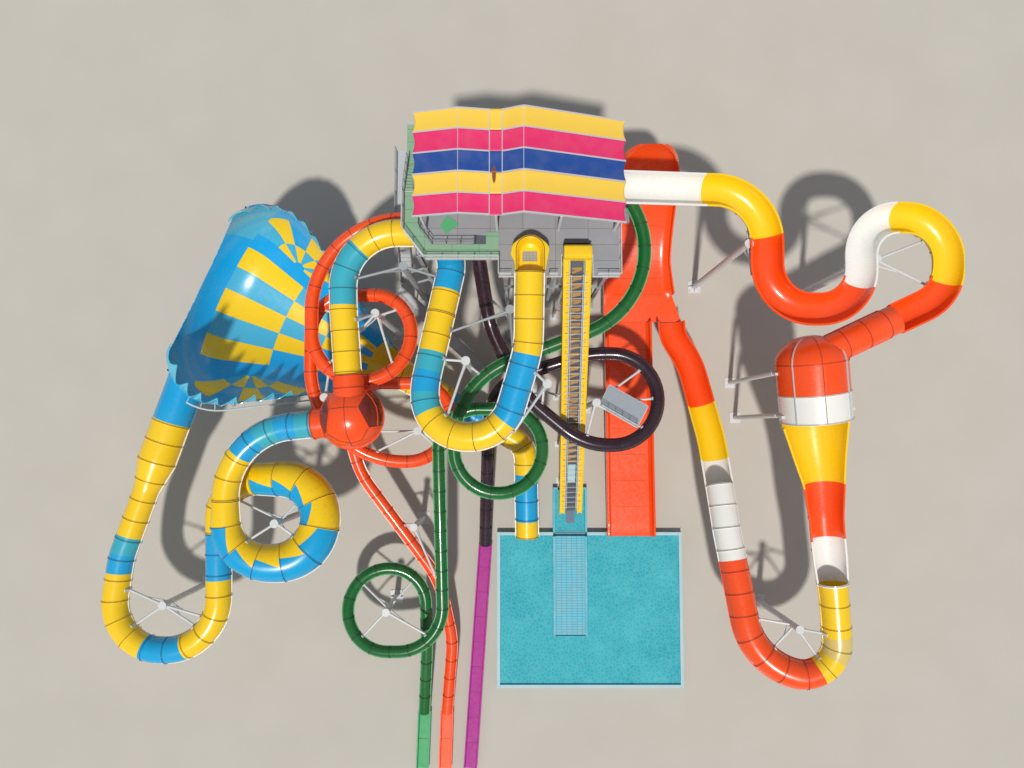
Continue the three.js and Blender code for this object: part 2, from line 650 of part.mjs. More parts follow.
function tray(plan, floor, height) {
  const reach = [5, 20];
  const outline = slab(plan, -1, 30);
  const inside = slab(offsetOutline(plan, -SHEET), -1, 30);
  const sheet = strip(floor(0), floor(SHEET), ...reach).intersect(outline);
  const rim = strip(floor(0), floor(height), ...reach).intersect(outline).subtract(inside);
  return sheet.add(rim);
}

// Two ribs under the curved floor, on columns tied across.
function wallFrame() {
  const ribs = [9.9, 13.2];
  const columns = [12.6, 17.4, 21.2];
  const depth = 0.3;
  const under = (y) => 2.7 + WALL_CURVE - Math.sqrt(WALL_CURVE ** 2 - (y - WALL_FOOT) ** 2) - depth / 2;
  const parts = ribs.map((x) => strip(wallFloor(-depth), wallFloor(-GAP), x, x + 0.2));
  columns.forEach((y) => {
    ribs.forEach((x) => {
      parts.push(box(x, x + 0.2, y - 0.15, y + 0.15, 0, under(y)));
      parts.push(box(x - 0.3, x + 0.5, y - 0.4, y + 0.4, 0, FOOT_THICKNESS));
    });
    parts.push(box(ribs[0], ribs[1], y - 0.1, y + 0.1, under(y) - 0.6, under(y) - 0.35));
  });
  return join(parts).subtract(strip(wallFloor(-GAP), wallFloor(2), 5, 20));
}

function addWall() {
  const openSouth = box(8.7, 12.75, 9, WALL_SOUTH + 1.5 * SHEET, WALL_FLOOR + 1.5 * SHEET, 4.5);
  const openFlume = box(13.5, 15.6, 9, WALL_SOUTH + 1.5 * SHEET, WALL_FLOOR + 1.5 * SHEET, 5);
  const wall = tray(WALL_PLAN, wallFloor, WALL_HEIGHT).subtract(openSouth).subtract(openFlume);
  piece('orange_wall', wall, 'orange');
  piece('wall_frame', wallFrame(), 'steel');
  const ends = [
    box(9.0, 13.2, -11, -9.9 + 1.5 * SHEET, COPING_TOP + 1.5 * SHEET, 3),
    box(8.7, 12.7, WALL_SOUTH - 1.5 * SHEET, 11, WALL_FLOOR + 1.5 * SHEET, 4.5),
  ];
  const runout = ends.reduce((rest, end) => rest.subtract(end), tray(RUNOUT_PLAN, runoutFloor, 0.9));
  piece('wall_runout', runout.subtract(wideEnvelope(wideLower)), 'orange');
}

// A straight open lane on the ground, which a body slide runs out into.
function lane(from, to, width) {
  const half = width / 2;
  const start = new THREE.Vector2(...from);
  const end = new THREE.Vector2(...to);
  const along = end.clone().sub(start).normalize();
  const side = along.clone().rotateAround(new THREE.Vector2(), Math.PI / 2);
  const edge = (point, offset, push) => [
    point.x + side.x * offset + along.x * push, point.y + side.y * offset + along.y * push,
  ];
  const outline = (inset, push) => [
    edge(start, inset - half, -push), edge(end, inset - half, push),
    edge(end, half - inset, push), edge(start, half - inset, -push),
  ];
  return slab(outline(0, 0), 0, LANE_WALL).subtract(slab(outline(2 * WALL, 1), LANE_FLOOR, 2));
}

function addBodySlides() {
  const runout = (course, radius, from, track) => tube(course, radius, BODY_SIDES, from)
    .add(track.subtract(sweep(course.stretch(from), new THREE.Shape(polygon(radius, BODY_SIDES)))));
  const orangeLane = lane([-6.0, -25.7], [-6.15, -31.2], 1.1);
  const greenLane = lane([-8.08, -25.7], [-8.25, -31.2], 1.1);
  const purpleLane = lane([-2.48, -10.4], [-3.85, -31.2], 1.15);
  piece('orange_tube_upper', tube(orangeCourse, BODY_TUBE, BODY_SIDES, 0, 5.5), 'orange');
  piece('orange_tube_lower', runout(orangeCourse, BODY_TUBE, 5.5, orangeLane), 'orange');
  piece('green_tube_upper', tube(greenCourse, BODY_TUBE, BODY_SIDES, 0, 6.5), 'green');
  piece('green_tube_lower', runout(greenCourse, BODY_TUBE, 6.5, greenLane), 'green');
  piece('purple_tube', runout(purpleCourse, PURPLE_TUBE, 0, purpleLane), 'purple');
}

// Tower: legs, beams, decks, railing and canopy.

const LEG = 0.15;
const LEG_FOOT = 0.45;
const FOOT_THICKNESS = 0.05;
const BEAM = 0.12;

function leg([x, y], top) {
  return box(x - LEG, x + LEG, y - LEG, y + LEG, 0, top)
    .add(box(x - LEG_FOOT, x + LEG_FOOT, y - LEG_FOOT, y + LEG_FOOT, 0, FOOT_THICKNESS));
}

function beam(from, to, z, depth = 0.3) {
  // A level beam whose top is at z, between two plan points along X or Y.
  const [x0, x1] = [Math.min(from[0], to[0]), Math.max(from[0], to[0])];
  const [y0, y1] = [Math.min(from[1], to[1]), Math.max(from[1], to[1])];
  return box(x0 - BEAM, x1 + BEAM, y0 - BEAM, y1 + BEAM, z - depth, z);
}

function towerFrame() {
  const deckUnderside = DECK_TOP - DECK_THICKNESS - GAP;
  const lowerUnderside = LOWER_DECK_TOP - DECK_THICKNESS - GAP;
  const parts = [];
  const [west, , , east] = LEG_COLUMNS;
  const [middle, north] = LEG_ROWS;
  LEG_COLUMNS.forEach((x) => {
    LEG_ROWS.forEach((y) => parts.push(leg([x, y], deckUnderside)));
    parts.push(beam([x, middle], [x, north], deckUnderside));
    parts.push(beam([x, middle], [x, north], lowerUnderside));
    parts.push(beam([x, middle], [x, north], 8.2));
  });
  SOUTH_LEGS.forEach((foot) => parts.push(leg(foot, deckUnderside)));
  [deckUnderside, lowerUnderside, 8.2].forEach((z) => {
    LEG_ROWS.forEach((y) => parts.push(beam([west, y], [east, y], z)));
  });
  parts.push(beam([-0.5, 12.2], [east, 12.2], deckUnderside));
  parts.push(beam([-6.9, 12.9], [-0.5, 12.9], deckUnderside));
  parts.push(beam([-0.5, 12.2], [-0.5, 12.9], deckUnderside));
  parts.push(beam([-6.9, 12.9], [-6.9, middle], deckUnderside));
  [-0.5, 3.3, east].forEach((x) => parts.push(beam([x, 12.2], [x, middle], deckUnderside)));
  [3.3, east].forEach((x) => parts.push(beam([x, 12.2], [x, middle], lowerUnderside)));
  parts.push(beam([-0.5, 12.2], [east, 12.2], 8.2));
  [-0.5, 3.3, east].forEach((x) => parts.push(beam([x, 12.2], [x, middle], 8.2)));
  parts.push(mast(-8.3, 12.5, 14.4, [[raftUpper, 5.25], [orangeCourse, 4]]));
  parts.push(bar(new THREE.Vector3(-8.3, 12.5, 8), new THREE.Vector3(-6.9, 12.9, 8), 0.1));
  parts.push(bar(new THREE.Vector3(-8.3, 12.5, 12), new THREE.Vector3(-6.9, 12.9, 12), 0.1));
  parts.push(mast(-0.15, 8.9, 15.9, [[raftUpper, 1.0], [raftUpper, 4.4], [purpleCourse, 0.6]]));
  parts.push(bar(new THREE.Vector3(-0.15, 8.9, 8), new THREE.Vector3(-0.5, 12.2, 8), 0.1));
  for (let bay = 0; bay < LEG_COLUMNS.length - 1; bay += 1) {
    const [x0, x1] = [LEG_COLUMNS[bay], LEG_COLUMNS[bay + 1]];
    parts.push(bar(new THREE.Vector3(x0, north, 0.3), new THREE.Vector3(x1, north, 8.05), 0.07, 4));
    parts.push(bar(new THREE.Vector3(x1, north, 8.1), new THREE.Vector3(x0, north, 12.2), 0.07, 4));
  }
  return join(parts);
}

function lowerDeck() {
  const deck = slab(LOWER_DECK_OUTLINE, LOWER_DECK_TOP - DECK_THICKNESS, LOWER_DECK_TOP);
  const hole = LEG + GAP;
  const legs = LEG_COLUMNS.flatMap((x) => LEG_ROWS.map((y) => (
    box(x - hole, x + hole, y - hole, y + hole, 0, DECK_TOP)
  )));
  return deck.subtract(join(legs));
}

function deckRailing() {
  const fascia = slab(offsetOutline(DECK_OUTLINE, GAP + 0.06), DECK_TOP - DECK_THICKNESS, DECK_TOP + 0.1)
    .subtract(slab(offsetOutline(DECK_OUTLINE, GAP), 0, DECK_TOP + 1));
  const parts = [fascia];
  const posts = offsetOutline(DECK_OUTLINE, GAP + 0.03);
  const openings = [
    box(0.0, 2.6, 10.5, 12.3, DECK_TOP + 0.02, 20), box(3.45, 6.1, 10.5, 13.1, DECK_TOP + 0.02, 20),
    box(7.2, 9, 16.2, 18.8, DECK_TOP + 0.02, 20), box(-7.85, -6.9, 17, 18, DECK_TOP + 0.02, 20),
  ];
  posts.forEach(([x, y], index) => {
    const [nextX, nextY] = posts[(index + 1) % posts.length];
    const from = new THREE.Vector3(x, y, DECK_TOP);
    const to = new THREE.Vector3(nextX, nextY, DECK_TOP);
    const count = Math.max(1, Math.round(from.distanceTo(to) / 2.9));
    for (let step = 0; step < count; step += 1) {
      const base = from.clone().lerp(to, step / count);
      parts.push(bar(base, base.clone().setZ(DECK_TOP + RAIL_HEIGHT), 0.035, 4));
    }
    const rail = DECK_TOP + RAIL_HEIGHT;
    parts.push(bar(from.clone().setZ(rail), to.clone().setZ(rail), 0.03, 4));
  });
  const rails = openings.reduce((rest, gap) => rest.subtract(gap), join(parts));
  // Only the pieces that stand on the fascia stay.
  return rails.decompose().reduce((a, b) => (b.volume() > a.volume() ? b : a));
}

function roofHeight(x) {
  const index = ROOF_LINE.findIndex(([edge]) => x <= edge);
  const [[x0, z0], [x1, z1]] = [ROOF_LINE[index - 1], ROOF_LINE[index]];
  return THREE.MathUtils.lerp(z0, z1, (x - x0) / (x1 - x0));
}

function roofStrip(y0, y1, bottom, top) {
  const outline = [
    ...ROOF_LINE.map(([x, z]) => new THREE.Vector2(x, z + bottom)),
    ...ROOF_LINE.map(([x, z]) => new THREE.Vector2(x, z + top)).reverse(),
  ];
  const shape = new THREE.Shape(outline);
  const geometry = new THREE.ExtrudeGeometry(shape, { depth: y1 - y0, bevelEnabled: false });
  // Drawn in XZ and pulled towards the south.
  geometry.applyMatrix4(new THREE.Matrix4().makeBasis(
    new THREE.Vector3(1, 0, 0), new THREE.Vector3(0, 0, 1), new THREE.Vector3(0, -1, 0),
  ));
  geometry.translate(0, y1, 0);
  return solid(geometry);
}

const SKIN = 0.06;

function addCanopy() {
  const lines = [0, 1, 2, 3, 4, 5].map((line) => (
    THREE.MathUtils.clamp(ROOF_SOUTH + ROOF_BAND * line, 14.68, 21.9)
  ));
  const rafters = lines.map((y) => roofStrip(y - 0.06, y + 0.06, -0.18, -SKIN / 2 - GAP));
  const posts = [-6.3, -1.1, 3.4, 7.5].flatMap((x) => [lines[0], lines[2], lines[5]].map((y) => (
    box(x - 0.08, x + 0.08, y - 0.08, y + 0.08, DECK_TOP + GAP, roofHeight(x) - 0.15)
  )));
  const roofNorth = ROOF_SOUTH + 5 * ROOF_BAND;
  const purlins = [-6.3, 7.5].map((x) => (
    box(x - 0.06, x + 0.06, ROOF_SOUTH, roofNorth, roofHeight(x) - 0.3, roofHeight(x) - 0.14)
  ));
  piece('canopy_frame', join([...rafters, ...posts, ...purlins]), 'steel');
  Object.entries(BAND_COLOURS).forEach(([name, color], band) => {
    const south = ROOF_SOUTH + ROOF_BAND * band + (band ? GAP : 0);
    const cloth = roofStrip(south, ROOF_SOUTH + ROOF_BAND * (band + 1), -SKIN / 2, SKIN / 2);
    piece(name, cloth, [color, 0.6]);
  });
}

// A straight flight with a landing at its top: risers and goings in profile, and a sloping underside.
function flight(start, heading, steps) {
  const { risers, rise = RISER, going = GOING, width = STAIR_WIDTH, level = 0, landing = 0 } = steps;
  const foot = level > 0 ? -PLATE : 0;
  const top = risers * rise;
  const end = risers * going;
  const points = [[0, foot]];
  for (let step = 0; step < risers; step += 1) {
    points.push([step * going, (step + 1) * rise], [(step + 1) * going, (step + 1) * rise]);
  }
  if (landing > 0) points.push([end + landing, top], [end + landing, top - PLATE]);
  points.push([end, top - PLATE], [going, foot]);
  const shape = new THREE.Shape(points.map(([x, z]) => new THREE.Vector2(x, z)));
  const geometry = new THREE.ExtrudeGeometry(shape, { depth: width, bevelEnabled: false });
  geometry.translate(0, 0, -width / 2);
  geometry.rotateX(Math.PI / 2);
  geometry.rotateZ(heading);
  geometry.translate(start[0], start[1], level);
  return solid(geometry);
}

function standUnder(x, y, top) {
  return box(x - 0.07, x + 0.07, y - 0.07, y + 0.07, 0, top - PLATE + 0.05)
    .add(box(x - 0.25, x + 0.25, y - 0.25, y + 0.25, 0, FOOT_THICKNESS));
}

function addTower() {
  piece('tower_frame', clearOfSlides(towerFrame()), 'frame');
  piece('main_deck', clearOfSlides(slab(DECK_OUTLINE, DECK_TOP - DECK_THICKNESS, DECK_TOP)), 'deck');
  piece('lower_deck', lowerDeck(), 'deck');
  piece('green_walkway', slab(GREEN_WALKWAY, DECK_TOP + GAP, DECK_TOP + 0.06), 'walkway');
  piece('deck_railing', clearOfSlides(deckRailing()), 'steel');
  addCanopy();
}

function addStairs() {
  const heading = Math.atan2(6.7, -7.5);
  const along = new THREE.Vector3(1, 0, 0).applyAxisAngle(up, heading);
  const foot = new THREE.Vector3(-1.9, 5.0, 0);
  const half = 15 * GOING + 1.2;
  const turn = foot.clone().addScaledVector(along, half + GAP);
  const middle = foot.clone().addScaledVector(along, half - 0.6);
  const corner = foot.clone().addScaledVector(along, 2 * half - 0.1);
  piece('ground_stair_lower', flight([foot.x, foot.y], heading, { risers: 15, landing: 1.2 })
    .add(standUnder(middle.x, middle.y, 3)), 'frame');
  piece('ground_stair_upper', join([
    flight([turn.x, turn.y], heading, { risers: 15, level: 3, landing: 1.3 }),
    box(-9.75, -8.56 - GAP, 11.6, 12.85 - GAP, 6 - PLATE, 6), standUnder(-9.2, 12.2, 6),
    standUnder(corner.x, corner.y, 6),
  ]), 'frame');
  piece('tower_stair_west', join([
    flight([-9.15, 12.85], Math.PI / 2, { risers: 18, level: 6, landing: 5.55 }),
    box(-9.7, -7.6 - GAP, 22.25, 23.4, 9.6 - PLATE, 9.6),
    standUnder(-9.15, 18.2, 9.6), standUnder(-9.15, 23, 9.6), standUnder(-7.9, 22.8, 9.6),
  ]), 'frame');
  piece('tower_stair_north', join([
    flight([-7.6, 22.8], 0, { risers: 15, level: 9.6, landing: 1.2 }), standUnder(-2.5, 22.8, 12.6),
  ]), 'frame');
  piece('inner_stair', join([
    flight([-4.2, 20.66], Math.PI, { risers: 9, level: LOWER_DECK_TOP, width: 1.05, landing: 0.43 })
      .subtract(box(-5, -4, 20, 21.3, 12, LOWER_DECK_TOP + GAP)),
    box(-8.1, -6.75, 20.93, 23.6, 14.4 - PLATE, 14.4), standUnder(-7.5, 23.5, 14.4),
  ]), 'walkway');
  piece('green_stair', flight([-7.6, 20.93 - GAP], -Math.PI / 2, {
    risers: 11, rise: 2.15 / 11, going: 3.36 / 11, width: 0.8, level: 14.4,
  }), 'walkway');
}

// Masts: a round post on a base plate, with arms out to the slides it carries.

function mast(x, y, top, targets) {
  const post = bar(new THREE.Vector3(x, y, 0), new THREE.Vector3(x, y, top), 0.26, 8);
  const plate = box(x - 0.6, x + 0.6, y - 0.6, y + 0.6, 0, 0.06);
  const arms = targets.map(([course, mark]) => {
    const target = course.at(mark);
    const height = Math.min(top - 0.25, target.z + 0.4);
    return bar(new THREE.Vector3(x, y, height), target, 0.1, 5);
  });
  return join([post, plate, ...arms]);
}

function addMasts() {
  const masts = {
    orange_loop_mast: mast(-10.8, 9.2, 12.4, [
      [orangeCourse, 2], [orangeCourse, 3], [orangeCourse, 4], [orangeCourse, 5], [raftUpper, 7.1],
    ]),
    sphere_mast: mast(-14.75, 2.55, 12.2, [[orangeCourse, 2.1], [orangeCourse, 5.8], [raftUpper, 8]]),
    centre_mast: mast(-3.45, 5.15, 15.2, [[raftUpper, 4.2], [raftUpper, 3.0], [greenCourse, 1.9]]),
    orange_mast: mast(-7.9, -0.1, 8.4, [
      [orangeCourse, 6.4], [orangeCourse, 7], [orangeCourse, 8], [orangeCourse, 10],
    ]),
    lane_mast: mast(-8.4, -8.3, 6.6, [[orangeCourse, 11.5], [greenCourse, 6.7]]),
    green_mast: mast(-10.8, -15.6, 6.0, [
      [greenCourse, 7], [greenCourse, 8], [greenCourse, 9], [greenCourse, 10],
    ]),
    spiral_mast: mast(-18.8, -7.4, 11.2, [[raftLower, 2], [raftLower, 3], [raftLower, 4], [raftLower, 5]]),
    return_mast: mast(-28.5, -14.3, 9.0, [
      [raftLower, 6], [raftLower, 7], [raftLower, 5.9], [raftLower, 7.6],
    ]),
    bend_mast: mast(23.1, -16.0, 9.8, [[wideLower, 4], [wideLower, 5], [wideLower, 3.5], [wideLower, 5.3]]),
    flume_mast_west: mast(17.6, 13.8, 16.0, [
      [wideUpper, 1], [wideUpper, 1.5], [wideUpper, 0.8], [wideUpper, 2],
    ]),
    flume_mast_east: mast(27.8, 13.0, 14.6, [
      [wideUpper, 3.4], [wideUpper, 4], [wideUpper, 5], [wideUpper, 6],
    ]),
  };
  Object.entries(masts).forEach(([name, body]) => piece(name, clearOfSlides(body).subtract(cone), 'steel'));
}

// Frames that carry the funnel and the capsule.

function addCradles() {
  const direction = funnelAxis.clone().normalize();
  const side = new THREE.Vector3().crossVectors(direction, up).normalize();
  const lift = new THREE.Vector3().crossVectors(side, direction);
  const parts = [];
  const point = (along, out, angle) => FUNNEL_THROAT.clone()
    .addScaledVector(direction, along)
    .addScaledVector(side, Math.sin(angle) * (funnelRadius(along) + out))
    .addScaledVector(lift, -Math.cos(angle) * (funnelRadius(along) + out));
  const rings = [[5.6, -1.0, 1.15], [11.6, -0.8, 1.1]];
  rings.forEach(([along, ...angles]) => {
    parts.push(funnelRing(along - 0.12, along + 0.12, GAP, 0.3));
    angles.forEach((angle) => {
      const head = point(along, 0.18, angle);
      parts.push(bar(new THREE.Vector3(head.x, head.y, 0), head, 0.17, 8));
      parts.push(box(head.x - 0.5, head.x + 0.5, head.y - 0.5, head.y + 0.5, 0, 0.06));
    });
  });
  parts.push(bar(point(rings[0][0], 0.2, 0), point(rings[1][0], 0.2, 0), 0.12));
  const cradle = join(parts).subtract(cone).subtract(funnelLid(RIM_LIFT - 0.7));
  piece('funnel_cradle', clearOfSlides(cradle), 'steel');

  const axis = CAPSULE_NORTH.clone().sub(CAPSULE_SOUTH);
  const forward = axis.clone().normalize();
  const across = new THREE.Vector3().crossVectors(forward, up).normalize();
  const down = new THREE.Vector3().crossVectors(forward, across);
  const centre = (along) => CAPSULE_SOUTH.clone().addScaledVector(forward, along);
  const saddles = [0.6, 4.0];
  const frame = saddles.map((along) => lathe([
    [CAPSULE_RADIUS + GAP, along - 0.1], [CAPSULE_RADIUS + 0.25, along - 0.1],
    [CAPSULE_RADIUS + 0.25, along + 0.1], [CAPSULE_RADIUS + GAP, along + 0.1],
    [CAPSULE_RADIUS + GAP, along - 0.1],
  ], CAPSULE_SEGMENTS, CAPSULE_SOUTH, axis));
  saddles.forEach((along) => [-2.76, 2.76].forEach((out) => {
    const head = centre(along).addScaledVector(across, out).addScaledVector(down, 0.75);
    frame.push(bar(head.clone().setZ(0), head, 0.2, 8));
    frame.push(box(head.x - 0.5, head.x + 0.5, head.y - 0.5, head.y + 0.5, 0, 0.06));
  }));
  const keel = saddles.map((along) => centre(along).addScaledVector(down, CAPSULE_RADIUS + 0.2));
  frame.push(bar(...keel, 0.14));
  const topless = box(15, 32, -5, 12, 12.2, 20);
  piece('capsule_frame', clearOfSlides(join(frame)).subtract(topless), 'steel');
}

function addConveyor() {
  const bed = new THREE.Shape([
    [-1.03, 0.3], [-1.03, -0.35], [1.03, -0.35], [1.03, 0.3], [0.56, 0.3], [0.56, -0.22], [-0.56, -0.22],
    [-0.56, 0.3],
  ].map(([x, y]) => new THREE.Vector2(x, y)));
  const frame = [sweep(conveyorCourse.stretch(), bed)];
  const start = conveyorCourse.at(0);
  const end = conveyorCourse.at(1);
  [0.13, 0.3, 0.52, 0.9].forEach((along) => {
    const spot = start.clone().lerp(end, along);
    [-0.85, 0.85].forEach((out) => {
      frame.push(box(spot.x + out - 0.12, spot.x + out + 0.12, spot.y - 0.12, spot.y + 0.12, 0, spot.z));
      frame.push(box(spot.x + out - 0.3, spot.x + out + 0.3, spot.y - 0.3, spot.y + 0.3, 0, 0.05));
    });
  });
  const hollow = new THREE.Shape([[-0.56, 0.5], [-0.56, -0.22], [0.56, -0.22], [0.56, 0.5]]
    .map(([x, y]) => new THREE.Vector2(x, y)));
  frame.push(mast(2.6, 3.4, 15.6, [[raftUpper, 1.25], [raftUpper, 1.9], [purpleCourse, 2.2]]));
  frame.push(bar(new THREE.Vector3(2.6, 3.4, 6), new THREE.Vector3(4.2, 2.96, 6), 0.1));
  // The drive's hood over the top end, in profile from the side.
  const hoodBase = [[12.25, 17.1], [13.3, 17.1]];
  const hoodTop = [[12.25, 17.7], [12.55, 18.1], [13.0, 18.1], [13.3, 17.8]];
  frame.push(strip(hoodBase, hoodTop, end.x - 1.03, end.x + 1.03));
  const body = join(frame).subtract(sweep(conveyorCourse.stretch(), hollow));
  piece('conveyor_frame', clearOfSlides(body), 'yellow');
  const loop = new THREE.Shape([[-0.48, 0.02], [-0.48, -0.22 + GAP], [0.48, -0.22 + GAP], [0.48, 0.02]]
    .map(([x, y]) => new THREE.Vector2(x, y)));
  piece('conveyor_belt', sweep(conveyorCourse.stretch(), loop), 'belt');
}

function addPlatform() {
  const corners = [[8.1, 3.75], [11.3, 1.95], [10.35, 0.2], [7.25, 2.0]];
  const top = 9.0;
  const parts = [slab(corners, top - 0.15, top)];
  const [, , southEast, southWest] = corners;
  for (let step = 0; step <= 3; step += 1) {
    const x = THREE.MathUtils.lerp(southWest[0], southEast[0], 0.03 + step * 0.31);
    const y = THREE.MathUtils.lerp(southWest[1], southEast[1], 0.03 + step * 0.31) + 0.12;
    parts.push(bar(new THREE.Vector3(x, y, top - 0.1), new THREE.Vector3(x, y, top + RAIL_HEIGHT), 0.04, 4));
  }
  [RAIL_HEIGHT, RAIL_HEIGHT / 2].forEach((height) => parts.push(bar(
    new THREE.Vector3(southWest[0] + 0.08, southWest[1] + 0.07, top + height),
    new THREE.Vector3(southEast[0] - 0.1, southEast[1] + 0.24, top + height), 0.035, 4,
  )));
  const post = mast(6.85, 2.2, 10.4, [
    [purpleCourse, 3.0], [purpleCourse, 4], [purpleCourse, 5], [purpleCourse, 4.5],
  ]);
  parts.push(bar(new THREE.Vector3(6.85, 2.2, top - 0.3), new THREE.Vector3(9.6, 2.1, top - 0.1), 0.12));
  piece('loop_platform', clearOfSlides(join([...parts, post])), 'steel');
}

function addPool() {
  const [west, east, south, north] = [-1.4, 15.9, -23.8, -9.55];
  const wall = 0.3;
  const floor = 0.08;
  const lift = [3.85, 7.05];
  const basin = box(west, east, south, north, 0, COPING_TOP)
    .subtract(box(west + wall, east - wall, south + wall, north - wall, floor, 2))
    .subtract(box(lift[0] - GAP, lift[1] + GAP, north - wall - 0.1, north + 1, floor, 2));
  const [rampFoot, rampHead] = [-19.1, north - wall - 0.12];
  const kerbs = [lift[0], lift[1] - 0.2].map((x) => box(x, x + 0.2, rampFoot, rampHead, floor - 0.02, 0.5));
  const ramp = box(lift[0] + 0.1, lift[1] - 0.1, rampFoot, rampHead, floor - 0.02, 0.36);
  piece('splash_pool', join([basin, ramp, ...kerbs]), 'pool');
  const trough = box(...lift, north + GAP, -5.4, 0, COPING_TOP)
    .subtract(box(lift[0] + 0.2, lift[1] - 0.2, north - 1, -5.6, floor, 2));
  const conveyorFoot = box(4.3, 6.6, -9, -5, floor - GAP, 6);
  piece('conveyor_trough', trough.subtract(conveyorFoot), 'pool');
}

addTower();
addStairs();
addRafts();
addWideRide();
addWall();
addBodySlides();
addMasts();
addCradles();
addConveyor();
addPlatform();
addPool();

group.position.set(-REFERENCE_LEG[0] * METRE, -REFERENCE_LEG[1] * METRE, 0);

export default group;
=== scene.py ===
from math import asin, atan2, copysign, cos, degrees, exp, hypot, pi, radians, sin, sqrt, tan
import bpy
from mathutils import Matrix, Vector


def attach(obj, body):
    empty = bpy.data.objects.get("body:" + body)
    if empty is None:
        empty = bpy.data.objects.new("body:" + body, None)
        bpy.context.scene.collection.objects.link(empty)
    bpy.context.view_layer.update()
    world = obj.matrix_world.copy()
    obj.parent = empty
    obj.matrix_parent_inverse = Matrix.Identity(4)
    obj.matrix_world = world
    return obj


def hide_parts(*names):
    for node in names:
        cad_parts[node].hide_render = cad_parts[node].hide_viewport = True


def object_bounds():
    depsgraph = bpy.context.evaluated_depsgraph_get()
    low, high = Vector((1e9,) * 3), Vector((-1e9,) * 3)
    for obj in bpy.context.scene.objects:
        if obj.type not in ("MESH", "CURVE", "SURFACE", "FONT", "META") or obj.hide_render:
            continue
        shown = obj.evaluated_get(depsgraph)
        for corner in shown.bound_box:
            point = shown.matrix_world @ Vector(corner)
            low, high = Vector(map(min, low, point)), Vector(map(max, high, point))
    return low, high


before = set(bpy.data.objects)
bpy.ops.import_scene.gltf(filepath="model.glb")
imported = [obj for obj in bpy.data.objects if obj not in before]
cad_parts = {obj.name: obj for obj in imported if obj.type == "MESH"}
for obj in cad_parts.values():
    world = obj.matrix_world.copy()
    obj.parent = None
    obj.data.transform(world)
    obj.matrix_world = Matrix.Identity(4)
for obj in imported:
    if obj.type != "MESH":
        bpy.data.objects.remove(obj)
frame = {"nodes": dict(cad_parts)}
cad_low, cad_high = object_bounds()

from types import SimpleNamespace

import bmesh
import bpy
from bpy.props import FloatProperty, FloatVectorProperty, IntProperty, PointerProperty
from mathutils import Vector

bl_info = {
    "name": "Water slide tower",
    "version": (1, 0, 0),
    "blender": (4, 5, 0),
    "location": "3D View > Sidebar > Slide tower",
    "description": "Builds the finished water slide tower over its CAD frame, at 1:2",
    "category": "Add Mesh",
}

# Places and sizes below are metres of the full-size plant: +X east, +Y north, level ground at zero.
# HALF and LEG_FOOT turn them into the row frame of the 1:2 model.
EAST, NORTH, UP = Vector((1, 0, 0)), Vector((0, 1, 0)), Vector((0, 0, 1))
HALF = 0.5
LEG_FOOT = Vector((-6.4, 17.2, 0.0))

# A course is a list of corners: x, y, height of the axis, radius of the bend in plan.
RAFT_UPPER = [
    (1.3, 13.7, 18.0, 0), (1.2, 5.9, 16.8, 8), (-0.7, -0.5, 16.1, 3.1), (-6.3, -0.5, 15.5, 3.1),
    (-6.5, 3.3, 15.2, 6), (-4.0, 15.0, 14.5, 2.7), (-13.1, 15.2, 14.0, 4.2), (-13.0, 9.2, 13.6, 9),
    (-12.45, 1.2, 13.1, 0),
]
RAFT_LOWER = [
    (-12.6, 0.8, 12.0, 0), (-22.6, -0.3, 11.6, 5.6), (-22.6, -10.5, 11.1, 3.4),
    (-15.3, -10.6, 10.4, 3.3), (-15.6, -4.0, 9.7, 3.3), (-24.2, -4.0, 8.95, 3.3),
    (-23.9, -18.0, 8.7, 4.3), (-33.1, -17.9, 8.5, 4.0), (-32.3, -10.5, 8.35, 9), (-26.0, 8.2, 8.15, 0),
]
FUNNEL_OUTLET = [
    (-10.95, 5.42, 4.0, 0), (-9.6, 4.85, 3.2, 5), (1.25, -1.4, 2.35, 2.3), (1.4, -9.87, 1.6, 0),
]
WIDE_UPPER = [
    (8.0462, 17.5, 17.65, 0), (18.8, 17.6, 16.5, 3.8), (18.9, 8.9, 15.9, 3.4), (26.1, 9.0, 15.4, 3.4),
    (26.5, 16.1, 14.9, 3.2), (33.5, 16.2, 14.4, 3.3), (33.5, 10.4, 14.0, 3.3), (24.0, 5.9, 13.2, 0),
]
WIDE_LOWER = [
    (24.1, 0.74, 11.6, 0), (25.2, -4.2, 10.2, 14), (25.6, -8.5, 9.65, 20), (26.1, -13.4, 9.35, 20),
    (26.7, -20.2, 8.8, 2.8), (19.9, -19.6, 8.2, 5), (18.2, -8.5, 7.0, 20), (17.5, -0.9, 5.4, 20),
    (16.1, 5.9, 4.0, 8), (14.6, 8.6, 3.55, 3), (14.55, 10.1, 3.5, 0),
]
ORANGE = [
    (-7.7, 16.5, 13.2, 0), (-15.9, 16.8, 12.6, 7.2), (-15.9, 3.9, 11.7, 3.85), (-8.1, 3.9, 11.2, 3.85),
    (-8.2, 11.0, 10.7, 3.2), (-16.4, 11.0, 10.2, 3.2), (-16.9, -2.6, 8.6, 7.6), (-5.2, -2.7, 7.2, 3.6),
    (-5.3, 4.0, 6.8, 3), (-14.3, 4.1, 6.5, 3), (-14.2, -0.2, 6.1, 3), (-13.2, -3.9, 5.4, 8),
    (-6.5, -13.4, 3.2, 9), (-5.4, -19.1, 1.9, 9), (-6.0, -26.0, 0.5, 0),
]
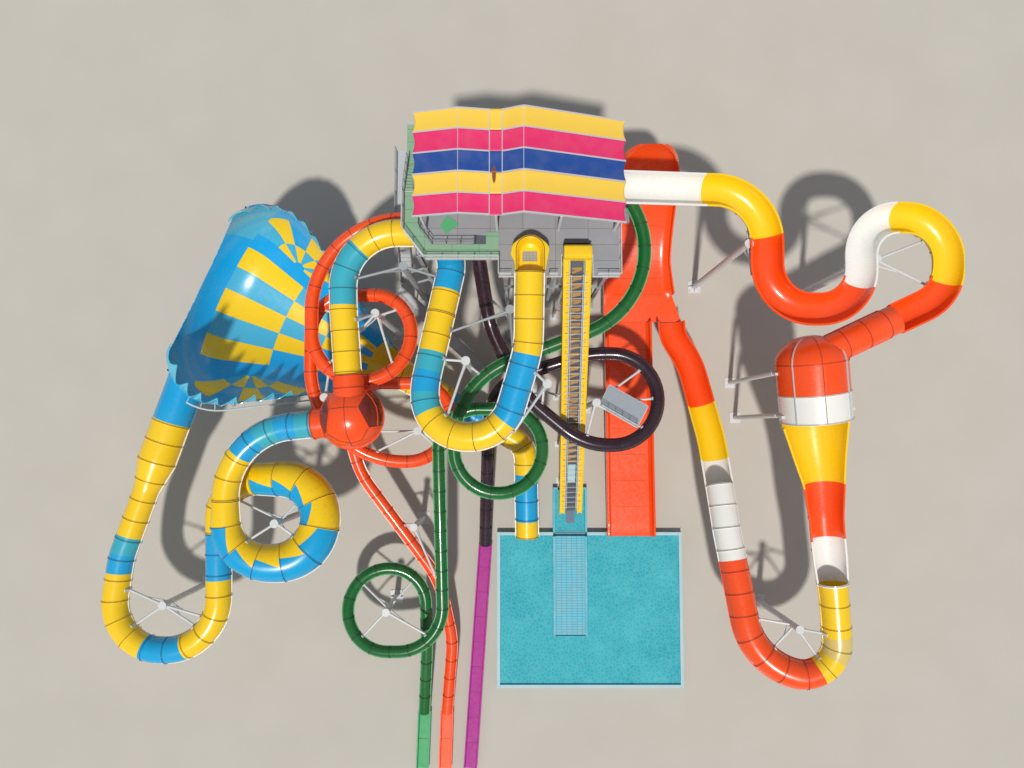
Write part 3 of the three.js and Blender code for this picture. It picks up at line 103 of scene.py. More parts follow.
GREEN = [
    (9.4, 17.7, 13.2, 0), (13.5, 10.5, 12.4, 6.7), (-4.7, 3.8, 10.8, 7), (-4.7, -5.1, 9.8, 3.55),
    (2.5, -5.2, 9.35, 3.55), (2.5, 1.7, 8.95, 3.2), (-6.2, 1.8, 8.5, 3.4), (-5.9, -19.0, 5.6, 4),
    (-14.2, -19.2, 5.0, 3.5), (-14.5, -12.2, 4.3, 3.4), (-7.7, -12.3, 3.7, 3.2), (-7.7, -19.9, 2.2, 20),
    (-8.1, -26.0, 0.5, 0),
]
PURPLE = [
    (-2.6, 13.4, 13.2, 0), (-1.8, 8.2, 10.4, 10), (1.2, 2.6, 9.6, 8), (5.9, -1.25, 9.2, 6),
    (12.25, -1.25, 8.6, 3.85), (12.25, 6.5, 8.1, 3.85), (6.6, 6.45, 7.75, 8), (-1.9, 4.0, 6.3, 4.5),
    (-2.4, -7.7, 1.7, 14), (-2.5, -10.7, 0.52, 0),
]
CONVEYOR = [(5.45, -7.6, 1.1, 0), (4.73, 12.7, 17.4, 0)]

SPHERE = Vector((-12.5, 1.0, 12.4))
SPHERE_RADIUS = 2.45
CAPSULE_SOUTH = Vector((24.1, 0.8, 11.6))
CAPSULE_NORTH = Vector((23.3, 7.4, 12.6))
CAPSULE_RADIUS = 2.72
FUNNEL_THROAT = Vector((-10.6, 5.3, 3.8))
FUNNEL_HEADING = radians(156.8)
FUNNEL_TILT = radians(35.5)
FUNNEL_SPREAD = radians(27.9)
THROAT_RADIUS = 1.45
CURL_START = 12.3
CURL_RADIUS = 3.9
FUNNEL_CLOSED = 1.0
RIM_LIFT = 0.06
TOOTH = 1.3
TOOTH_DEPTH = 0.75
TOOTH_LEAN = 0.85
# Three places in the leaning plane that the funnel's floor ends at.
FUNNEL_END = [(-23.66, 16.42, 10.0), (-26.23, 18.4, 3.0), (-27.61, 7.57, 10.0)]

START_TUB_LENGTH = 2.35
DECK_TOP = 16.55
DECK_THICKNESS = 0.25
LOWER_DECK_TOP = 12.6
RAIL_HEIGHT = 1.1
DECK_OUTLINE = [
    (-7.95, 17.5), (-7.95, 14.65), (-6.35, 12.55), (-0.95, 12.55), (-0.95, 11.25), (3.6, 11.25),
    (3.6, 12.85), (5.95, 12.85), (5.95, 11.25), (7.85, 11.25), (7.85, 22.0), (-6.8, 22.0), (-6.8, 17.5),
]
ROOF_LINE = [(-6.9, 20.0), (-3.7, 20.8), (-1.55, 20.45), (-0.67, 20.45), (0.8, 21.1), (8.1, 18.6)]
ROOF_SOUTH = 14.6
ROOF_BAND = 1.49

WALL_SOUTH = 10.0
WALL_FOOT = 12.5
WALL_CURVE = 10.5
WALL_SPAN = radians(86)
WALL_PLAN = [
    (8.55, 10.0), (15.72, 10.0), (14.75, 12.6), (14.35, 15.5), (14.3, 19.5), (14.2, 21.9), (13.6, 22.9),
    (12.6, 23.35), (10.2, 23.35), (9.2, 22.9), (8.9, 21.9), (9.0, 19.5), (9.4, 15.5), (8.55, 13.6),
]
RUNOUT_LEVELS = [(-9.9, 0.62), (-9.5, 0.62), (-4.0, 1.0), (9.99, 2.35)]
PLATFORM_CORNERS = [(8.1, 3.75), (11.3, 1.95), (10.35, 0.2), (7.25, 2.0)]
PLATFORM_TOP = 9.0


def linear(code):
    """The linear colour of an sRGB hex value."""
    parts = [int(code[i:i + 2], 16) / 255 for i in (1, 3, 5)]
    return tuple(p / 12.92 if p <= 0.04045 else ((p + 0.055) / 1.055) ** 2.4 for p in parts)


def at(x, y, z):
    """A full-size place in the row frame."""
    return (Vector((x, y, z)) - LEG_FOOT) * HALF


def on_line(stops, place):
    """The value at a place on the line through (place, value) stops, level before its start."""
    for (a, low), (b, high) in zip(stops, stops[1:]):
        if place <= b:
            return low + (high - low) * max(place - a, 0.0) / (b - a)
    return stops[-1][1]


def rib(low, high, half):
    """A rib's section: from a low place to a high one, with a half width to both sides."""
    return [low - half, high - half, high + half, low + half]


def turned_left(outline):
    """Whether an outline runs anticlockwise."""
    return sum(a[0] * b[1] - b[0] * a[1] for a, b in zip(outline, outline[1:] + outline[:1])) > 0


def spoke(across, up, angle):
    """The direction at an angle from one direction towards another."""
    return across * cos(angle) + up * sin(angle)


class Course:
    """The axis of a slide: straights joined by round bends, with a smooth fall."""

    def __init__(self, corners, girths=((0, 1.0),)):
        self.legs = []
        self.marks = [0.0]
        self.levels = [c[2] for c in corners]
        length = 0.0
        x, y = corners[0][:2]
        for index, (cx, cy, _, radius) in enumerate(corners[1:], 1):
            heading = atan2(cy - y, cx - x)
            size = hypot(cx - x, cy - y)
            self.legs.append((length, x, y, heading, 0.0))
            if index == len(corners) - 1:
                length += size
                self.marks.append(length)
                break
            nx, ny = corners[index + 1][:2]
            turn = atan2(ny - cy, nx - cx) - heading
            turn = atan2(sin(turn), cos(turn))
            tangent = radius * tan(abs(turn) / 2)
            length += size - tangent
            x, y = cx - tangent * cos(heading), cy - tangent * sin(heading)
            arc = radius * abs(turn)
            self.marks.append(length + arc / 2)
            self.legs.append((length, x, y, heading, copysign(1 / radius, turn)))
            length += arc
            x = cx + tangent * cos(heading + turn)
            y = cy + tangent * sin(heading + turn)
        self.length = length
        self.girths = [(self.distance(mark), size) for mark, size in girths]

    def distance(self, mark):
        low = min(int(mark), len(self.marks) - 2)
        return self.marks[low] + (self.marks[low + 1] - self.marks[low]) * (mark - low)

    def slope(self, index):
        """The fall at a corner, between those of the stretches beside it."""
        falls = [(self.levels[i + 1] - self.levels[i]) / (self.marks[i + 1] - self.marks[i])
                 for i in (index - 1, index) if 0 <= i < len(self.marks) - 1]
        before, after = falls[0], falls[-1]
        return 0.0 if before * after <= 0 else 2 * before * after / (before + after)

    def level(self, distance):
        low = sum(mark < distance for mark in self.marks[1:-1])
        span = self.marks[low + 1] - self.marks[low]
        t = (distance - self.marks[low]) / span
        rise = t * t * (3 - 2 * t)
        bend = self.slope(low) * t * (1 - t) ** 2 + self.slope(low + 1) * t * t * (t - 1)
        return self.levels[low] * (1 - rise) + self.levels[low + 1] * rise + span * bend

    def girth(self, distance):
        return on_line(self.girths, distance)

    def frame_at(self, distance):
        """Point, tangent, left and upward directions, and girth."""
        start, x, y, heading, bend = [leg for leg in self.legs if leg[0] <= distance + 1e-9][-1]
        along = distance - start
        now = heading + bend * along
        if bend:
            x += (sin(now) - sin(heading)) / bend
            y -= (cos(now) - cos(heading)) / bend
        else:
            x += cos(now) * along
            y += sin(now) * along
        ahead, behind = min(distance + 0.2, self.length), max(distance - 0.2, 0)
        fall = (self.level(ahead) - self.level(behind)) / (ahead - behind)
        tangent = Vector((cos(now), sin(now), fall)).normalized()
        left = UP.cross(tangent).normalized()
        return Vector((x, y, self.level(distance))), tangent, left, tangent.cross(left), self.girth(distance)


raft_upper = Course(RAFT_UPPER)
raft_lower = Course(RAFT_LOWER, [
    (1.5, 1), (2, 1.25), (3, 1.58), (4, 1.5), (5, 1.12), (5.3, 1), (8.3, 1), (8.42, 1.5), (9, 1.5),
])
outlet = Course(FUNNEL_OUTLET, [(0, 1.38), (1, 1.3), (1.5, 1)])
wide_upper = Course(WIDE_UPPER)
wide_lower = Course(WIDE_LOWER, [(0, 2.32), (1, 1.45), (1.7, 1.17), (2.4, 1.15), (3, 1)])
orange_course = Course(ORANGE)
green_course = Course(GREEN)
purple_course = Course(PURPLE)
conveyor_course = Course(CONVEYOR)


# Colours and sizes that a user would change.

def colour(name, text, code):
    return FloatVectorProperty(name=name, description=text, size=3, subtype="COLOR", min=0, max=1,
                               default=linear(code))


class SlideColours(bpy.types.PropertyGroup):
    yellow: colour("Yellow", "Yellow gel coat of the raft rides", "#FCD010")
    cyan: colour("Turquoise", "Blue gel coat of the raft ride's tubes", "#08A4DC")
    sky: colour("Sky blue", "Blue gel coat of the funnel", "#0BA6E8")
    orange: colour("Orange", "Orange gel coat of the wide ride, sphere and body slide", "#FB500C")
    smoked: colour("Smoked red", "Dark tinted side panels of the sphere", "#7A2014")
    white: colour("White", "White gel coat of the wide ride", "#F2F0EA")
    green: colour("Green", "Dark green gel coat of a body slide", "#0B6428")
    lime: colour("Light green", "Light green gel coat of the green lane and joints", "#4FAE74")
    purple: colour("Purple", "Dark purple gel coat of a body slide", "#2C1022")
    magenta: colour("Magenta", "Magenta gel coat of the purple slide's lane", "#B02A92")
    pool: colour("Pool", "Painted concrete of the pool and the conveyor trough", "#45B4CB")
    steel: colour("Steel", "White paint of the masts and rails", "#D9DCDE")
    frame: colour("Frame", "Grey paint of the tower's legs and stairs", "#A4ABB0")


def length(name, text, default, low, high):
    return FloatProperty(name=name, description=text, default=default, min=low, max=high, unit="LENGTH")


class SlideSizes(bpy.types.PropertyGroup):
    raft_radius: length("Raft tube radius", "Outside radius of the raft tubes, full size", 1.03, 0.5, 2)
    wide_radius: length("Wide flume radius", "Outside radius of the wide flumes, full size", 1.14, 0.5, 2)
    body_radius: length("Body tube radius", "Outside radius of the body tubes, full size", 0.475, 0.3, 1)
    purple_radius: length("Purple tube radius", "Outside radius of the purple tube", 0.5, 0.3, 1)
    wall: length("Shell", "Thickness of the fibreglass shells, full size", 0.05, 0.01, 0.2)
    raft_joint: length("Raft joint spacing", "Length of a raft tube segment", 1.65, 0.5, 6)
    body_joint: length("Body joint spacing", "Length of a body tube segment", 1.7, 0.5, 6)
    flange: length("Flange", "How far a bolted flange stands out, full size", 0.05, 0.0, 0.3)
    tube_sides: IntProperty(name="Tube sides", description="Sides of a raft tube's section",
                            default=32, min=8, max=64)


# Mesh work: faces gathered in full-size metres and turned into one piece.

class Shape:
    def __init__(self):
        self.points = []
        self.faces = []
        self.finishes = []
        self.uvs = []

    def add(self, points, faces, finish=0, uvs=None):
        base = len(self.points)
        self.points.extend(points)
        for index, face in enumerate(faces):
            self.faces.append([base + i for i in face])
            self.finishes.append(finish[index] if isinstance(finish, list) else finish)
            self.uvs.append(uvs[index] if uvs else [(0.0, 0.0)] * len(face))

    def box(self, x0, x1, y0, y1, z0, z1, finish=0):
        self.prism([(x0, y0), (x1, y0), (x1, y1), (x0, y1)], z0, z1, finish)

    def beam(self, a, b, width, depth, finish=0):
        """A straight box from a to b, with its depth as near upright as it can be."""
        a, b = Vector(a), Vector(b)
        along = (b - a).normalized()
        side = along.cross(UP)
        side = side.normalized() if side.length > 1e-4 else EAST
        half, deep = side * width / 2, side.cross(along) * depth / 2
        self.rings([[end - half - deep, end + half - deep, end + half + deep, end - half + deep]
                    for end in (a, b)], finish, caps=True)

    def bar(self, a, b, radius, sides=12, finish=0):
        """A round bar from a to b."""
        a, b = Vector(a), Vector(b)
        along = (b - a).normalized()
        side = along.orthogonal().normalized()
        self.rings([[end + spoke(side, along.cross(side), 2 * pi * i / sides) * radius for i in range(sides)]
                    for end in (a, b)], finish, caps=True)

    def prism(self, outline, z0, z1, finish=0):
        """An upright plate from a plan outline, given anticlockwise or clockwise."""
        outline = outline if turned_left(outline) else outline[::-1]
        self.rings([[Vector((x, y, z)) for x, y in outline] for z in (z0, z1)], finish, caps=True)

    def rings(self, rings, finish=0, closed=True, uvs=None, caps=False):
        """A skin over rings of points with the same count.

        The finish is one for all, a list with one for each span, or a function of row, column and middle
        that leaves a hole where it gives None.
        """
        n = len(rings[0])
        faces, finishes, corners = [], [], []
        spans = n if closed else n - 1
        for r, (near, far) in enumerate(zip(rings, rings[1:])):
            for i in range(spans):
                j = (i + 1) % n
                look = finish[r] if isinstance(finish, list) else finish
                if callable(finish):
                    look = finish(r, i, (near[i] + near[j] + far[j] + far[i]) / 4)
                if look is None:
                    continue
                faces.append((r * n + i, r * n + j, (r + 1) * n + j, (r + 1) * n + i))
                finishes.append(look)
                if uvs:
                    (u0, _), (u1, _) = uvs[r], uvs[r + 1]
                    a, b = i / spans, (i + 1) / spans
                    corners.append([(u0, a), (u0, b), (u1, b), (u1, a)])
        if caps:
            last = (len(rings) - 1) * n
            faces += [tuple(range(n))[::-1], tuple(range(last, last + n))]
            finishes += [finish[0], finish[-1]] if isinstance(finish, list) else [finish] * 2
            if uvs:
                corners += [[(0.0, 0.0)] * n] * 2
        self.add([p for ring in rings for p in ring], faces, finishes, corners if uvs else None)


def make_piece(name, shape, materials, nodes=(), smooth=35.0):
    """One finished object from a shape, on the CAD body, in place of the nodes it stands for."""
    mesh = bpy.data.meshes.new(name)
    places = [(p - LEG_FOOT) * HALF for p in shape.points]
    # Lips and joints that reach past the plant's own box are trimmed flush with it.
    places = [[min(max(v, low), high) for v, low, high in zip(p, cad_low, cad_high)] for p in places]
    mesh.from_pydata(places, [], shape.faces)
    for material in materials:
        mesh.materials.append(material)
    mesh.polygons.foreach_set("material_index", shape.finishes)
    layer = mesh.uv_layers.new(name="along_and_around")
    layer.data.foreach_set("uv", [value for face in shape.uvs for uv in face for value in uv])
    mesh.update()
    mesh.validate()
    piece = bpy.data.objects.new(name, mesh)
    bpy.context.scene.collection.objects.link(piece)
    cleaner = bmesh.new()
    cleaner.from_mesh(mesh)
    bmesh.ops.recalc_face_normals(cleaner, faces=cleaner.faces)
    cleaner.to_mesh(mesh)
    cleaner.free()
    if smooth:
        mesh.shade_smooth()
        mesh.set_sharp_from_angle(angle=radians(smooth))
    if nodes:
        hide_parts(*nodes)
    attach(piece, "root")
    return piece


# Materials.

def add(tree, kind, inputs, **settings):
    """A shader node with its settings. An input takes a value, or the socket that feeds it."""
    node = tree.nodes.new("ShaderNode" + kind)
    for key, value in settings.items():
        setattr(node, key, value)
    for key, value in inputs.items():
        socket = node.inputs[key]
        if isinstance(value, bpy.types.NodeSocket):
            tree.links.new(value, socket)
        else:
            socket.default_value = (*value[:3], 1.0) if socket.type == "RGBA" else value
    return node


def new_material(name, **shader):
    """A material with its tree and its shader, whose own sockets take the constants."""
    material = bpy.data.materials.new(name)
    material.use_nodes = True
    tree = material.node_tree
    principled = tree.nodes["Principled BSDF"]
    for key, value in shader.items():
        principled.inputs[key.replace("_", " ")].default_value = value
    return material, tree, principled


def dressed(made, tone, height=None, strength=0.0, depth=0.0):
    """The material, once its colour and its fine relief reach the shader."""
    material, tree, shader = made
    tree.links.new(tone, shader.inputs["Base Color"])
    if height is not None:
        bump = add(tree, "Bump", {"Height": height, "Strength": strength, "Distance": depth})
        tree.links.new(bump.outputs["Normal"], shader.inputs["Normal"])
    return material


def mixed(rgb, other, share):
    return tuple(a + (b - a) * share for a, b in zip(rgb, other))


def clouds(tree, size, detail=4.0, roughness=0.55):
    """A cloudy pattern whose features are about size metres across on the model."""
    where = add(tree, "TexCoord", {})
    noise = add(tree, "TexNoise", {"Vector": where.outputs["Object"], "Scale": 1 / size, "Detail": detail,
                                   "Roughness": roughness})
    return noise.outputs["Fac"]


def layer(tree, base, over, pattern, low=0.0, high=1.0, share=1.0, start=0.0):
    """One colour laid over another, from its start to its full share as a pattern rises from low to high."""
    amount = add(tree, "MapRange", {"Value": pattern, "From Min": low, "From Max": high, "To Min": start,
                                    "To Max": share})
    both = add(tree, "Mix", {"Factor": amount.outputs["Result"], 6: base, 7: over}, data_type="RGBA")
    return both.outputs[2]


def fibreglass(name, rgb, fade=0.03, dirt=0.12, shine=0.25, gloss=(0.2, 0.38)):
    """Hand-laid fibreglass with a gel coat: even gloss, sun-chalked in broad patches, water stains."""
    made = new_material(name, Roughness=0.3, IOR=1.5, Coat_Weight=shine, Coat_Roughness=0.08)
    _, tree, shader = made
    base = layer(tree, rgb, mixed(rgb, (0.85, 0.83, 0.78), 0.75), clouds(tree, 1.4, 3.0), 0.35, 0.75, fade)
    grime = clouds(tree, 0.16, 6.0, 0.68)
    final = layer(tree, base, mixed(rgb, (0.045, 0.04, 0.03), 0.8), grime, 0.54, 0.78, dirt)
    dull = add(tree, "MapRange", {"Value": grime, "From Min": 0.3, "From Max": 0.8, "To Min": gloss[0],
                                  "To Max": gloss[1]})
    tree.links.new(dull.outputs["Result"], shader.inputs["Roughness"])
    # Roller marks under the gel coat are some 25 mm across; drawn at 60 mm so that they show.
    return dressed(made, final, clouds(tree, 0.03, 2.0), 0.08, 0.002)


def painted_steel(name, rgb, rust=0.3, roughness=0.42):
    """Brush-painted steel outdoors: slightly chalky, with rust at the joints and runs below them."""
    made = new_material(name, Roughness=roughness, IOR=1.5)
    tree = made[1]
    base = layer(tree, rgb, mixed(rgb, (0.2, 0.17, 0.13), 0.6), clouds(tree, 0.25, 6.0, 0.7), 0.35, 0.8, 0.35)
    spots = clouds(tree, 0.09, 8.0, 0.75)
    return dressed(made, layer(tree, base, (0.16, 0.06, 0.02), spots, 0.62, 0.7, rust), spots, 0.12, 0.002)


def seam_sealant():
    """Dark sealant and rubber between bolted flanges: matt, dusty black."""
    made = new_material("flange_sealant", Roughness=0.75, IOR=1.45)
    return dressed(made, layer(made[1], (0.012, 0.012, 0.013), (0.06, 0.055, 0.05), clouds(made[1], 0.05)))


def deck_coating(name, rgb, board):
    """Trafficked deck coating over plates: gritty, with dark joints and worn paths."""
    made = new_material(name, Roughness=0.8, IOR=1.45)
    tree = made[1]
    base = layer(tree, rgb, mixed(rgb, (0.45, 0.43, 0.4), 0.6), clouds(tree, 0.7, 6.0, 0.65), 0.35, 0.7, 0.5)
    where = add(tree, "TexCoord", {})
    plates = add(tree, "TexBrick", {
        "Vector": where.outputs["Object"], "Scale": 1.0, "Mortar Size": 0.012, "Brick Width": board * 2,
        "Row Height": board, "Color1": (1, 1, 1), "Color2": (0.93, 0.93, 0.93), "Mortar": (0.62, 0.62, 0.62),
    }, offset=0.0)
    final = add(tree, "Mix", {"Factor": 1.0, 6: base, 7: plates.outputs["Color"]}, data_type="RGBA",
                blend_type="MULTIPLY")
    return dressed(made, final.outputs[2], clouds(tree, 0.008, 2.0), 0.25, 0.001)


def canopy_cloth(name, rgb, stained=False):
    """PVC-coated polyester, stretched: faint weave, satin sheen, dust washed into streaks."""
    made = new_material(name, Roughness=0.55, IOR=1.48, Sheen_Weight=0.15)
    tree = made[1]
    tone = layer(tree, rgb, mixed(rgb, (0.5, 0.42, 0.3), 0.4), clouds(tree, 0.5, 5.0, 0.6), 0.4, 0.75, 0.22)
    where = add(tree, "TexCoord", {}).outputs["Object"]
    if stained:
        # Rain stands in the valley and leaves a rust-brown leaf-shaped stain, about 1.5 m long.
        valley = at(-1.23, 17.45, 0.0)
        spot = add(tree, "Mapping", {"Vector": where, "Scale": (12.0, 2.7, 0.0),
                                     "Location": (-valley.x * 12.0, -valley.y * 2.7, 0.0)})
        ball = add(tree, "TexGradient", {"Vector": spot.outputs["Vector"]}, gradient_type="SPHERICAL")
        tone = layer(tree, tone, linear("#8A4620"), ball.outputs["Fac"], 0.05, 0.3)
    # The weave's threads are under a millimetre; drawn 12 mm apart so that they catch light.
    weave = add(tree, "TexWave", {"Vector": where, "Scale": 1 / 0.012, "Distortion": 0.3})
    return dressed(made, tone, weave.outputs["Fac"], 0.05, 0.001)


def belt_rubber():
    """Moulded conveyor rubber with raised cleats: near black, scuffed grey on the ribs."""
    made = new_material("belt_rubber", Roughness=0.7, IOR=1.5)
    scuffs = clouds(made[1], 0.06, 5.0, 0.7)
    return dressed(made, layer(made[1], (0.03, 0.04, 0.06), (0.15, 0.17, 0.2), scuffs))


def painted_concrete(name, rgb):
    """Rolled pool paint on render: matt, cloudy, chalked at the edges."""
    made = new_material(name, Roughness=0.6, IOR=1.45)
    tree = made[1]
    tone = layer(tree, rgb, mixed(rgb, (0.75, 0.78, 0.76), 0.5), clouds(tree, 0.8, 6.0, 0.6), 0.3, 0.75, 0.5)
    return dressed(made, tone, clouds(tree, 0.02), 0.15, 0.002)


def pool_water():
    """Shallow pool water over pale blue paint: clear gloss, small waves, and a painted net of sunlight
    (caustics) on its floor.
    """
    made = new_material("pool_water", Roughness=0.08, IOR=1.33)
    tree = made[1]
    base = layer(tree, linear("#0E93A9"), linear("#55C4CE"), clouds(tree, 1.4, 5.0, 0.6))
    # The painted net of sunlight (caustics) is some 0.2 m across on the model.
    where = add(tree, "TexCoord", {})
    painted_sunlight_net = add(tree, "TexVoronoi", {"Vector": where.outputs["Object"], "Scale": 6.0},
              feature="DISTANCE_TO_EDGE")
    tone = layer(tree, base, linear("#A9E6E4"), painted_sunlight_net.outputs["Distance"], 0.0, 0.2, 0.0, 0.16)
    return dressed(made, tone, clouds(tree, 0.16, 3.0, 0.5), 0.35, 0.02)


# The length of a leaf on the spiral.
LEAF = 2.05


def leaf_grid():
    """Where the spiral's leaves start, and the exact spacing of its joints."""
    first, last = raft_lower.distance(1.5), raft_lower.distance(5.3)
    return first, (last - first) / round((last - first) / LEAF)


def leaf_end(distance):
    """The spiral's joint nearest to a distance."""
    first, pitch = leaf_grid()
    return first + pitch * round((distance - first) / pitch)


def petal_fibreglass(name, base_rgb, petal_rgb, reach):
    """Gel coat laid up in two colours: a row of pointed leaves along the inner side of the bend."""
    made = new_material(name, Roughness=0.3, IOR=1.5, Coat_Weight=0.25, Coat_Roughness=0.08)
    tree = made[1]
    where = add(tree, "UVMap", {}, uv_map="along_and_around")
    parts = add(tree, "SeparateXYZ", {"Vector": where.outputs["UV"]})
    # Leaves one joint long; each swells to its tip and ends square at the joint.
    first, pitch = leaf_grid()
    edge, around = parts.outputs["X"], parts.outputs["Y"]
    for operation, value in (("SUBTRACT", first), ("DIVIDE", pitch), ("FRACT", 0.0), ("POWER", 1.4),
                             ("MULTIPLY", 0.08), ("ADD", reach)):
        edge = add(tree, "Math", {0: edge, 1: value}, operation=operation).outputs[0]
    for operation, value in (("SUBTRACT", 0.25), ("ABSOLUTE", 0.0), ("LESS_THAN", edge)):
        around = add(tree, "Math", {0: around, 1: value}, operation=operation).outputs[0]
    base = layer(tree, base_rgb, petal_rgb, around)
    grime = clouds(tree, 0.16, 6.0, 0.68)
    return dressed(made, layer(tree, base, (0.05, 0.045, 0.03), grime, 0.54, 0.78, 0.25))


def make_finishes(colours):
    """Every material, made once from the user's colours."""
    pick = SimpleNamespace(**{key: tuple(getattr(colours, key)) for key in SlideColours.__annotations__})
    # Lanes are scuffed dull by use, so that the sun leaves no mirror streak on them.
    scuffed = {"shine": 0.0, "gloss": (0.6, 0.8)}
    return SimpleNamespace(
        yellow=fibreglass("yellow_gel_coat", pick.yellow),
        cyan=fibreglass("turquoise_gel_coat", pick.cyan),
        sky=fibreglass("sky_blue_gel_coat", pick.sky),
        # Pale blue: the funnel's pale wedges, and painted sunlight high on its north wall.
        pale=fibreglass("pale_blue_gel_coat", mixed(pick.sky, (0.1, 0.5, 0.62), 0.6)),
        # The toothed rim is laid a lighter cyan than the funnel: painted sunlight on the teeth.
        rim=fibreglass("cyan_edge_gel_coat", mixed(pick.sky, (0.08, 0.62, 0.8), 0.7), dirt=0.2),
        gold=fibreglass("golden_gel_coat", pick.yellow, fade=0.02, dirt=0.06),
        orange=fibreglass("orange_gel_coat", pick.orange),
        smoked=fibreglass("smoked_red_gel_coat", pick.smoked, fade=0.05),
        white=fibreglass("white_gel_coat", pick.white, dirt=0.1),
        green=fibreglass("green_gel_coat", pick.green),
        teal=fibreglass("teal_gel_coat", linear("#35AFC4")),
        lime=fibreglass("light_green_gel_coat", pick.lime, **scuffed),
        orange_lane=fibreglass("scuffed_orange_gel_coat", linear("#FF6A44"), **scuffed),
        purple=fibreglass("purple_gel_coat", pick.purple),
        magenta=fibreglass("magenta_gel_coat", pick.magenta, **scuffed),
        cream=fibreglass("cream_gel_coat", linear("#E0C56E")),
        petals=petal_fibreglass("yellow_petals_on_turquoise", pick.cyan, pick.yellow, 0.195),
        petals_high=petal_fibreglass("turquoise_petals_on_yellow", pick.yellow, pick.cyan, 0.18),
        seam=seam_sealant(),
        steel=painted_steel("white_painted_steel", pick.steel),
        frame=painted_steel("grey_painted_steel", pick.frame, rust=0.5),
        conveyor=painted_steel("yellow_painted_steel", pick.yellow, rust=0.15),
        deck=deck_coating("grey_deck_coating", linear("#989BA2"), 0.6),
        walkway=deck_coating("green_deck_coating", linear("#86B592"), 0.5),
        pink_cloth=canopy_cloth("pink_coated_cloth", linear("#EA2A6C")),
        yellow_cloth=canopy_cloth("yellow_coated_cloth", linear("#FAD04A"), stained=True),
        blue_cloth=canopy_cloth("blue_coated_cloth", linear("#17499A"), stained=True),
        belt=belt_rubber(),
        cleat=painted_steel("tan_moulded_cleats", linear("#B58A4E"), rust=0.2, roughness=0.6),
        plate=painted_steel("grey_chequer_plate", linear("#99A3AD"), rust=0.15, roughness=0.55),
        slate=painted_steel("slate_blue_plate", linear("#3D5577"), rust=0.1),
        rail=painted_steel("dark_painted_steel", linear("#4B5357"), rust=0.2),
        webbing=canopy_cloth("pale_edge_webbing", linear("#C4C2CC")),
        tiles=deck_coating("pool_ramp_tiles", linear("#6BC6DE"), 0.12),
        coping=painted_concrete("pale_coping", linear("#A9C9D2")),
        grating=deck_coating("pale_grating", linear("#A9ADAB"), 0.06),
        hoop=painted_steel("light_painted_steel", linear("#C4C9CC"), rust=0.2),
        pool=painted_concrete("pool_paint", pick.pool),
        water=pool_water(),
    )


finishes = None


# Slide shells.

def spread(start, end, step):
    count = max(1, round((end - start) / step))
    return [start + (end - start) * i / count for i in range(count + 1)]


def skin_point(course, distance, radius, angle, inset=0.0):
    centre, _, left, rise, girth = course.frame_at(distance)
    return centre + spoke(left, rise, angle) * (radius * girth - inset)


def section_ring(course, distance, radius, sides):
    return [skin_point(course, distance, radius, -pi / 2 + 2 * pi * i / sides) for i in range(sides)]


def section_trough(course, distance, radius, wall, lip, sides):
    """Outside from the left lip under to the right lip, then back inside."""
    centre, _, left, rise, girth = course.frame_at(distance)
    size = radius * girth
    edge = [(size + lip, 0.12), (size + lip, 0.06), (size, 0.05)]
    ring = [centre + left * out + rise * up for out, up in edge]
    ring += [centre + spoke(left, rise, -pi * i / sides) * size for i in range(sides + 1)]
    ring += [centre - left * out + rise * up for out, up in edge[::-1]]
    for i in range(sides + 1):
        inside = centre + spoke(left, rise, -pi + pi * i / sides) * (size - wall)
        ring.append(inside + rise * (0.12 if i in (0, sides) else 0.0))
    return ring


def finish_at(stops, distance):
    return next((finish for end, finish in stops if distance < end), stops[-1][1])


def span_finishes(stops, places):
    """The finish of each span between the places along a slide."""
    return [finish_at(stops, (a + b) / 2) for a, b in zip(places, places[1:])]


def stations(start, end, step, stops):
    """Even stations with one at each colour change."""
    edges = [start] + [s for s, _ in stops if start + 0.15 < s < end - 0.15] + [end]
    places = []
    for a, b in zip(edges, edges[1:]):
        places += spread(a, b, step)[:-1]
    return places + [end]


def meeting(course, radius, angle, near, far, body):
    """The distance at which a line along the tube's skin enters a body, found by halving."""
    if not body(skin_point(course, far, radius, angle)):
        return far
    for _ in range(20):
        middle = (near + far) / 2
        if body(skin_point(course, middle, radius, angle)):
            far = middle
        else:
            near = middle
    return near


def skin_rings(course, radius, sides, places, inset, meets):
    """Rings of a tube's skin; those past a near mark lean to meet the body that the tube runs into."""
    angles = [-pi / 2 + 2 * pi * i / sides for i in range(sides)]
    reaches = [(near, far, [meeting(course, radius, a, near, far, body) for a in angles])
               for near, far, body in meets]
    rings = []
    for d in places:
        spots = [d] * sides
        for near, far, marks in reaches:
            share = (d - near) / (far - near)
            if share > 0:
                spots = [near + (mark - near) * share for mark in marks]
        rings.append([skin_point(course, spot, radius, a, inset) for spot, a in zip(spots, angles)])
    return rings


def tube_shell(shape, course, radius, wall, start, end, stops, sides, step=0.35, meets=()):
    """A closed tube: outside, inside and end rings, with colours by distance."""
    places = stations(start, end, step, stops)
    colours = span_finishes(stops, places)
    uvs = [(d, 0.0) for d in places]
    outer = skin_rings(course, radius, sides, places, 0.0, meets)
    inner = skin_rings(course, radius, sides, places, wall, meets)
    shape.rings(outer, colours, uvs=uvs)
    shape.rings([ring[::-1] for ring in inner], colours, uvs=uvs)
    for ring_out, ring_in, finish in ((outer[0], inner[0], colours[0]), (outer[-1], inner[-1], colours[-1])):
        shape.rings([ring_out, ring_in], finish)


